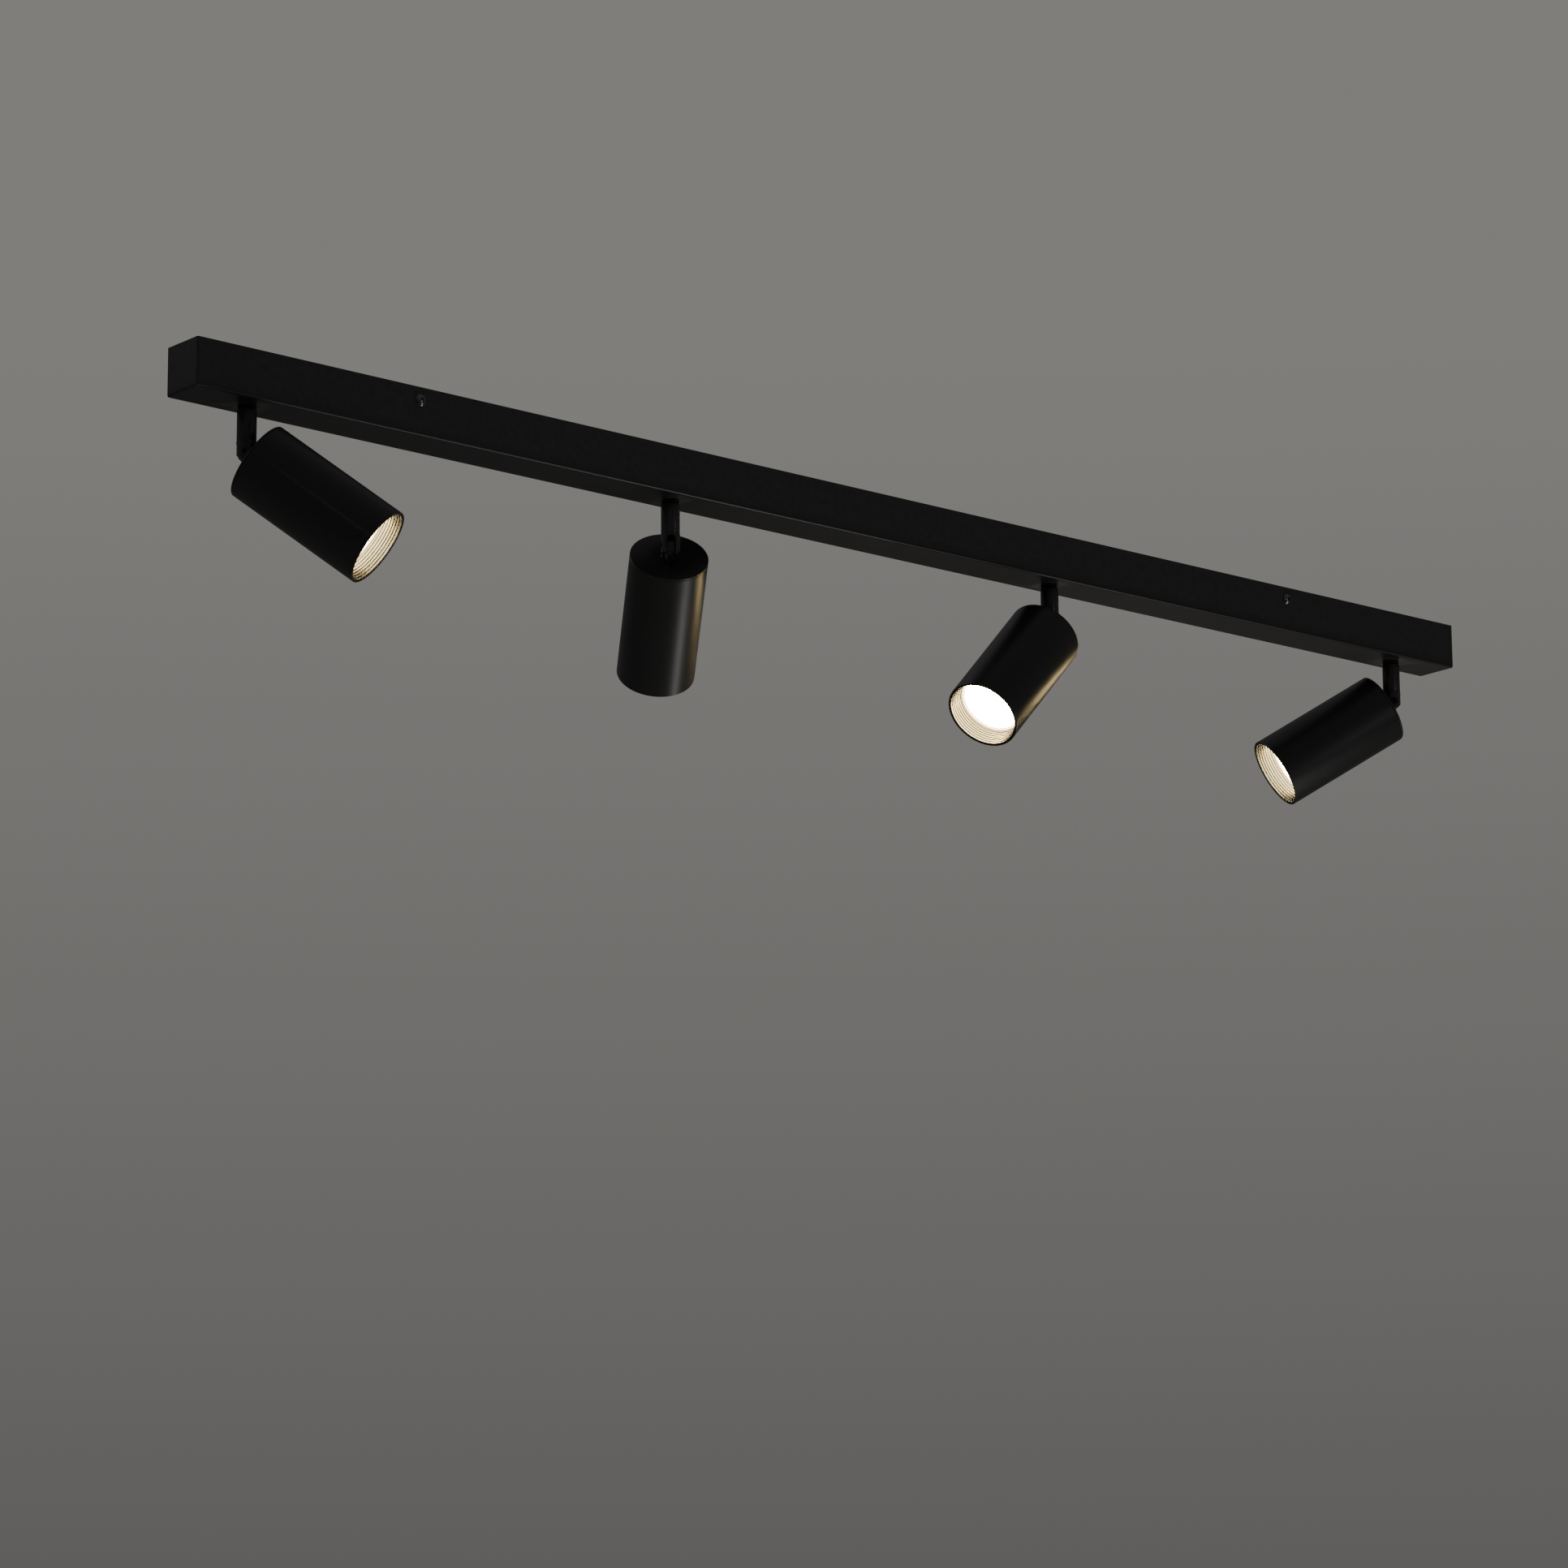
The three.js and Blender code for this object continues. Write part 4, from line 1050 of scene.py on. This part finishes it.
def lug_mesh():
    """The blade with its eye, joined to the turned foot and stud, and bored for the pivot screw."""
    low = LUG_FOOT_UNDERSIDE + LUG_BLADE_SINK
    outline = [(-LUG_EYE, low), (LUG_EYE, low), *arc((0, 0), LUG_EYE, 0, 180, 40)]
    blade = plate(outline, LUG_THICKNESS, STAND_XZ)
    stud_end = LUG_FOOT_UNDERSIDE - LUG_STUD_LENGTH
    foot_top = LUG_FOOT_UNDERSIDE + LUG_FOOT_HEIGHT
    foot = turned(softened([
        (0, stud_end), (LUG_STUD_RADIUS, stud_end), (LUG_STUD_RADIUS, LUG_FOOT_UNDERSIDE),
        (LUG_FOOT_RADIUS, LUG_FOOT_UNDERSIDE), (LUG_FOOT_RADIUS, foot_top), (0, foot_top),
    ], LUG_FOOT_EASE), FINE)
    bore = moved(rod(PIVOT_RADIUS + LUG_BORE_PLAY, -LUG_BORE_REACH, LUG_BORE_REACH), ALONG_Y)
    return eased(carved(blade, ("UNION", foot), ("DIFFERENCE", bore)), LUG_EASE)


for head in heads:
    name = f"cast_lug_{head.number}"
    piece(name, lug_mesh(), stem_coat, head.tube_body, f"lug_{head.number}", head.tube)

# ------------------------ Back caps
# A turned aluminium disc that closes the back of each tube. Its rim sits flush with the tube and shows as
# a thin band above a hairline seam, and its spigot is a push fit inside.

HEAD_RADIUS = 28.1
HEAD_BORE = 26.9
CAP_TOP = -9.5
CAP_RIM = 1.35
CAP_SHEET = 2.4
CAP_SPIGOT_LENGTH = 6.0
CAP_SPIGOT_WALL = 2.0
CAP_BORE_PLAY = 0.15
CAP_EASE = 0.3
# The steps round a piece of the tube's size.
ROUND = 144

head_coat = powder_coat(
    "head_coat", deep=(0.006, 0.006, 0.0063), tone=(0.011, 0.011, 0.0114),
    grain=0.0006, smooth=0.36, rough=0.42, bump=0.45, dust=0.05,
)


def back_cap_mesh():
    rim, spigot = CAP_TOP - CAP_RIM, HEAD_BORE - SEAT
    bore = LUG_STUD_RADIUS + CAP_BORE_PLAY
    hollow = spigot - CAP_SPIGOT_WALL
    return turned(softened([
        (bore, CAP_TOP - CAP_SHEET), (hollow, CAP_TOP - CAP_SHEET), (hollow, rim - CAP_SPIGOT_LENGTH),
        (spigot, rim - CAP_SPIGOT_LENGTH), (spigot, rim), (HEAD_RADIUS, rim), (HEAD_RADIUS, CAP_TOP),
        (bore, CAP_TOP),
    ], CAP_EASE), ROUND)


for head in heads:
    name = f"turned_cap_{head.number}"
    node = f"back_cap_{head.number}"
    piece(name, back_cap_mesh(), head_coat, head.tube_body, node, head.tube)

# ------------------------ Housings
# The tube of each head: drawn aluminium, cut square, with both rims broken, powder coated outside and in.

HEAD_LENGTH = 103.0
HEAD_FRONT = CAP_TOP - HEAD_LENGTH
SEAM = 0.2
RIM_EASE = 0.35


def housing_mesh():
    top = CAP_TOP - CAP_RIM - SEAM
    return turned(softened([
        (HEAD_BORE, HEAD_FRONT), (HEAD_RADIUS, HEAD_FRONT), (HEAD_RADIUS, top), (HEAD_BORE, top),
    ], RIM_EASE, 5), ROUND)


for head in heads:
    name = f"head_tube_{head.number}"
    node = f"housing_{head.number}"
    piece(name, housing_mesh(), head_coat, head.tube_body, node, head.tube)

# ------------------------ Lampholders
# Pale unglazed ceramic behind each lamp, on a neck from the back cap. It takes the lamp's two pins.

HOLDER_EDGE = 0.6

ceramic = blotchy_material(
    "lampholder_ceramic", size=0.004, dark=(0.62, 0.57, 0.48), light=(0.78, 0.74, 0.66),
    smooth=0.6, rough=0.85, metallic=0.0, bump=0.6,
)
for head in heads:
    refinish(f"lampholder_{head.number}", ceramic, HOLDER_EDGE)

# ------------------------ Lamps
# A reflector lamp with two pins: a white moulded body that widens to a front rim, and a pocket in its
# face for the lens.

LAMP_INSET = 13.9
LAMP_LENGTH = 50.0
LAMP_FACE = HEAD_FRONT + LAMP_INSET
LAMP_BACK = LAMP_FACE + LAMP_LENGTH
LAMP_RADIUS = 25.0
LAMP_RIM_HEIGHT = 6.6
LAMP_WAIST_RADIUS = 15.0
LAMP_WAIST_FROM_BACK = 18.0
LAMP_NECK_RADIUS = 11.0
LAMP_NECK_LENGTH = 11.0
LAMP_EASE = 0.5
LENS_RADIUS = 21.5
LENS_GAP = 0.5
LENS_INSET = 1.1
LENS_FACE = LAMP_FACE + LENS_INSET
LENS_THICKNESS = 2.2
LENS_BED = 0.2

# The shell's front rim gets a painted glow, for lamp light scattered in the plastic and reflected from the
# baffle.
PAINTED_RIM_GLOW_DEPTH = 9.0
PAINTED_RIM_GLOW_STRENGTH = 7.0
PAINTED_RIM_GLOW_COLOUR = (1.0, 0.78, 0.48, 1)
POCKET_MARGIN = 0.4


def lamp_material():
    """White plastic with a painted glow near the front, standing in for lamp light scattered in it and
    reflected onto it from the baffle.
    """
    material = blotchy_material(
        "lamp_shell", size=0.005, dark=(0.70, 0.69, 0.66), light=(0.78, 0.77, 0.74),
        smooth=0.28, rough=0.4, metallic=0.0, bump=0.15,
    )
    tree = material.node_tree
    rim_glow_share = add(tree, "ShaderNodeAttribute", attribute_name="painted_rim_glow")
    glow = add(tree, "ShaderNodeMix", data_type="RGBA")
    glow.inputs["A"].default_value = (0, 0, 0, 1)
    glow.inputs["B"].default_value = PAINTED_RIM_GLOW_COLOUR
    join(tree, rim_glow_share.outputs["Fac"], glow.inputs["Factor"])
    join(tree, glow.outputs["Result"], tree.nodes["Principled BSDF"].inputs["Emission Color"])
    tree.nodes["Principled BSDF"].inputs["Emission Strength"].default_value = PAINTED_RIM_GLOW_STRENGTH
    return material


lamp_shell = lamp_material()


def lamp_mesh():
    pocket = LENS_RADIUS + LENS_GAP
    bed = LENS_FACE + LENS_THICKNESS + LENS_BED
    return turned(softened([
        (0, bed), (pocket, bed), (pocket, LAMP_FACE), (LAMP_RADIUS, LAMP_FACE),
        (LAMP_RADIUS, LAMP_FACE + LAMP_RIM_HEIGHT), (LAMP_WAIST_RADIUS, LAMP_BACK - LAMP_WAIST_FROM_BACK),
        (LAMP_NECK_RADIUS, LAMP_BACK - LAMP_NECK_LENGTH), (LAMP_NECK_RADIUS, LAMP_BACK), (0, LAMP_BACK),
    ], LAMP_EASE), ROUND)


for head in heads:
    shell = lamp_mesh()
    rim_glow_share = shell.attributes.new("painted_rim_glow", "FLOAT", "POINT")
    # Painted glow: strongest at the face, fading with depth behind it, and none in the lens pocket.
    glows = []
    for vertex in shell.vertices:
        depth = (vertex.co.z - LAMP_FACE) / PAINTED_RIM_GLOW_DEPTH
        reach = math.hypot(vertex.co.x, vertex.co.y)
        in_pocket = depth > 0 and reach < LENS_RADIUS + LENS_GAP + POCKET_MARGIN
        glows.append(0 if in_pocket else max(0, 1 - depth) ** 2)
    rim_glow_share.data.foreach_set("value", glows)
    name = f"reflector_lamp_{head.number}"
    piece(name, shell, lamp_shell, head.tube_body, f"lamp_{head.number}", head.tube)

# ------------------------ Lenses
# The lamp's frosted front, moulded with fine rings round a shallow dome. It glows warm white all over,
# hottest in the middle.

LENS_RINGS = 9
LENS_RELIEF = 0.12
LENS_DOME = 0.9
RING_STEPS = 8
LENS_STEPS = 96
GLOW_STRENGTH = 60.0
GLOW_MIDDLE = (1.0, 0.85, 0.49, 1)
GLOW_EDGE = (1.0, 0.72, 0.30, 1)


def lens_mesh():
    """Rings from the middle of the face outwards, then the edge and the back."""
    face = []
    count = RING_STEPS * LENS_RINGS
    for step in range(count + 1):
        share = step / count
        ripple = LENS_RELIEF * (0.5 - 0.5 * math.cos(2 * math.pi * LENS_RINGS * share))
        face.append((LENS_RADIUS * share, LENS_FACE - LENS_DOME * (1 - share * share) + ripple))
    back = LENS_FACE + LENS_THICKNESS
    return turned(face + [(LENS_RADIUS, back), (0, back)], LENS_STEPS)


def glow_material():
    """Light that falls off from the middle of the lens, by the distance kept on each point of its mesh."""
    material, tree, shader, coordinates = new_material("lit_lens")
    spread = add(tree, "ShaderNodeAttribute", attribute_name="from_middle")
    ramp = add(tree, "ShaderNodeValToRGB")
    ramp.color_ramp.elements[0].color = GLOW_MIDDLE
    ramp.color_ramp.elements[1].color = GLOW_EDGE
    frost = add(tree, "ShaderNodeTexNoise", Scale=900.0, Detail=2.0)
    relief = add(tree, "ShaderNodeBump", Strength=0.2, Distance=SURFACE_RELIEF)
    roughness = add(tree, "ShaderNodeMapRange", To_Min=0.35, To_Max=0.6)
    join(tree, coordinates, frost.inputs["Vector"])
    join(tree, spread.outputs["Fac"], ramp.inputs[0])
    join(tree, ramp.outputs[0], shader.inputs["Emission Color"])
    join(tree, ramp.outputs[0], shader.inputs["Base Color"])
    join(tree, frost.outputs["Fac"], relief.inputs["Height"])
    join(tree, frost.outputs["Fac"], roughness.inputs["Value"])
    join(tree, relief.outputs["Normal"], shader.inputs["Normal"])
    join(tree, roughness.outputs[0], shader.inputs["Roughness"])
    shader.inputs["Emission Strength"].default_value = GLOW_STRENGTH
    return material


glow = glow_material()
for head in heads:
    disc = lens_mesh()
    spread = disc.attributes.new("from_middle", "FLOAT", "POINT")
    spread.data.foreach_set("value", [math.hypot(v.co.x, v.co.y) / LENS_RADIUS for v in disc.vertices])
    name = f"frosted_lens_{head.number}"
    piece(name, disc, glow, head.tube_body, f"lens_{head.number}", head.tube)

# ------------------------ Baffles
# A gloss black moulded ring in the mouth of each tube. Seven grooves run round its taper, so that the
# lamp shows in it as bright bands and doesn't dazzle from the side.

BAFFLE_INSET = 0.4
BAFFLE_FRONT = HEAD_FRONT + BAFFLE_INSET
BAFFLE_DEPTH = 13.2
BAFFLE_MOUTH = 26.0
BAFFLE_THROAT = 23.6
STEPS = 7
GROOVE_WIDTH = 0.36
GROOVE_DEPTH = 0.24
THROAT_LIP = 0.35
BAFFLE_PLAY = 0.15
BAFFLE_EASE = 0.1

gloss_plastic = blotchy_material(
    "gloss_black_plastic", size=0.004, dark=(0.010, 0.010, 0.010), light=(0.018, 0.018, 0.018),
    smooth=0.16, rough=0.26, metallic=0.0, bump=0.08,
)


def baffle_mesh():
    """Steps that narrow inwards. Each has a land along the axis and a groove at its inner end."""
    back = BAFFLE_FRONT + BAFFLE_DEPTH
    outer = HEAD_BORE - BAFFLE_PLAY
    pitch = BAFFLE_DEPTH / STEPS
    profile = [(outer, BAFFLE_FRONT), (outer, back)]
    for step in range(STEPS, 0, -1):
        land = BAFFLE_MOUTH + (BAFFLE_THROAT - BAFFLE_MOUTH) * (step - 1) / (STEPS - 1)
        inner, front = BAFFLE_FRONT + step * pitch, BAFFLE_FRONT + (step - 1) * pitch
        if step == STEPS:
            profile += [(land, inner), (land, inner - THROAT_LIP)]
            inner -= THROAT_LIP
        profile += [(land + GROOVE_DEPTH, inner), (land + GROOVE_DEPTH, inner - GROOVE_WIDTH / 2)]
        profile += [(land, inner - GROOVE_WIDTH), (land, front)]
    return turned(softened(profile, BAFFLE_EASE, 3), ROUND)


for head in heads:
    name = f"ribbed_ring_{head.number}"
    node = f"baffle_{head.number}"
    piece(name, baffle_mesh(), gloss_plastic, head.tube_body, node, head.tube)
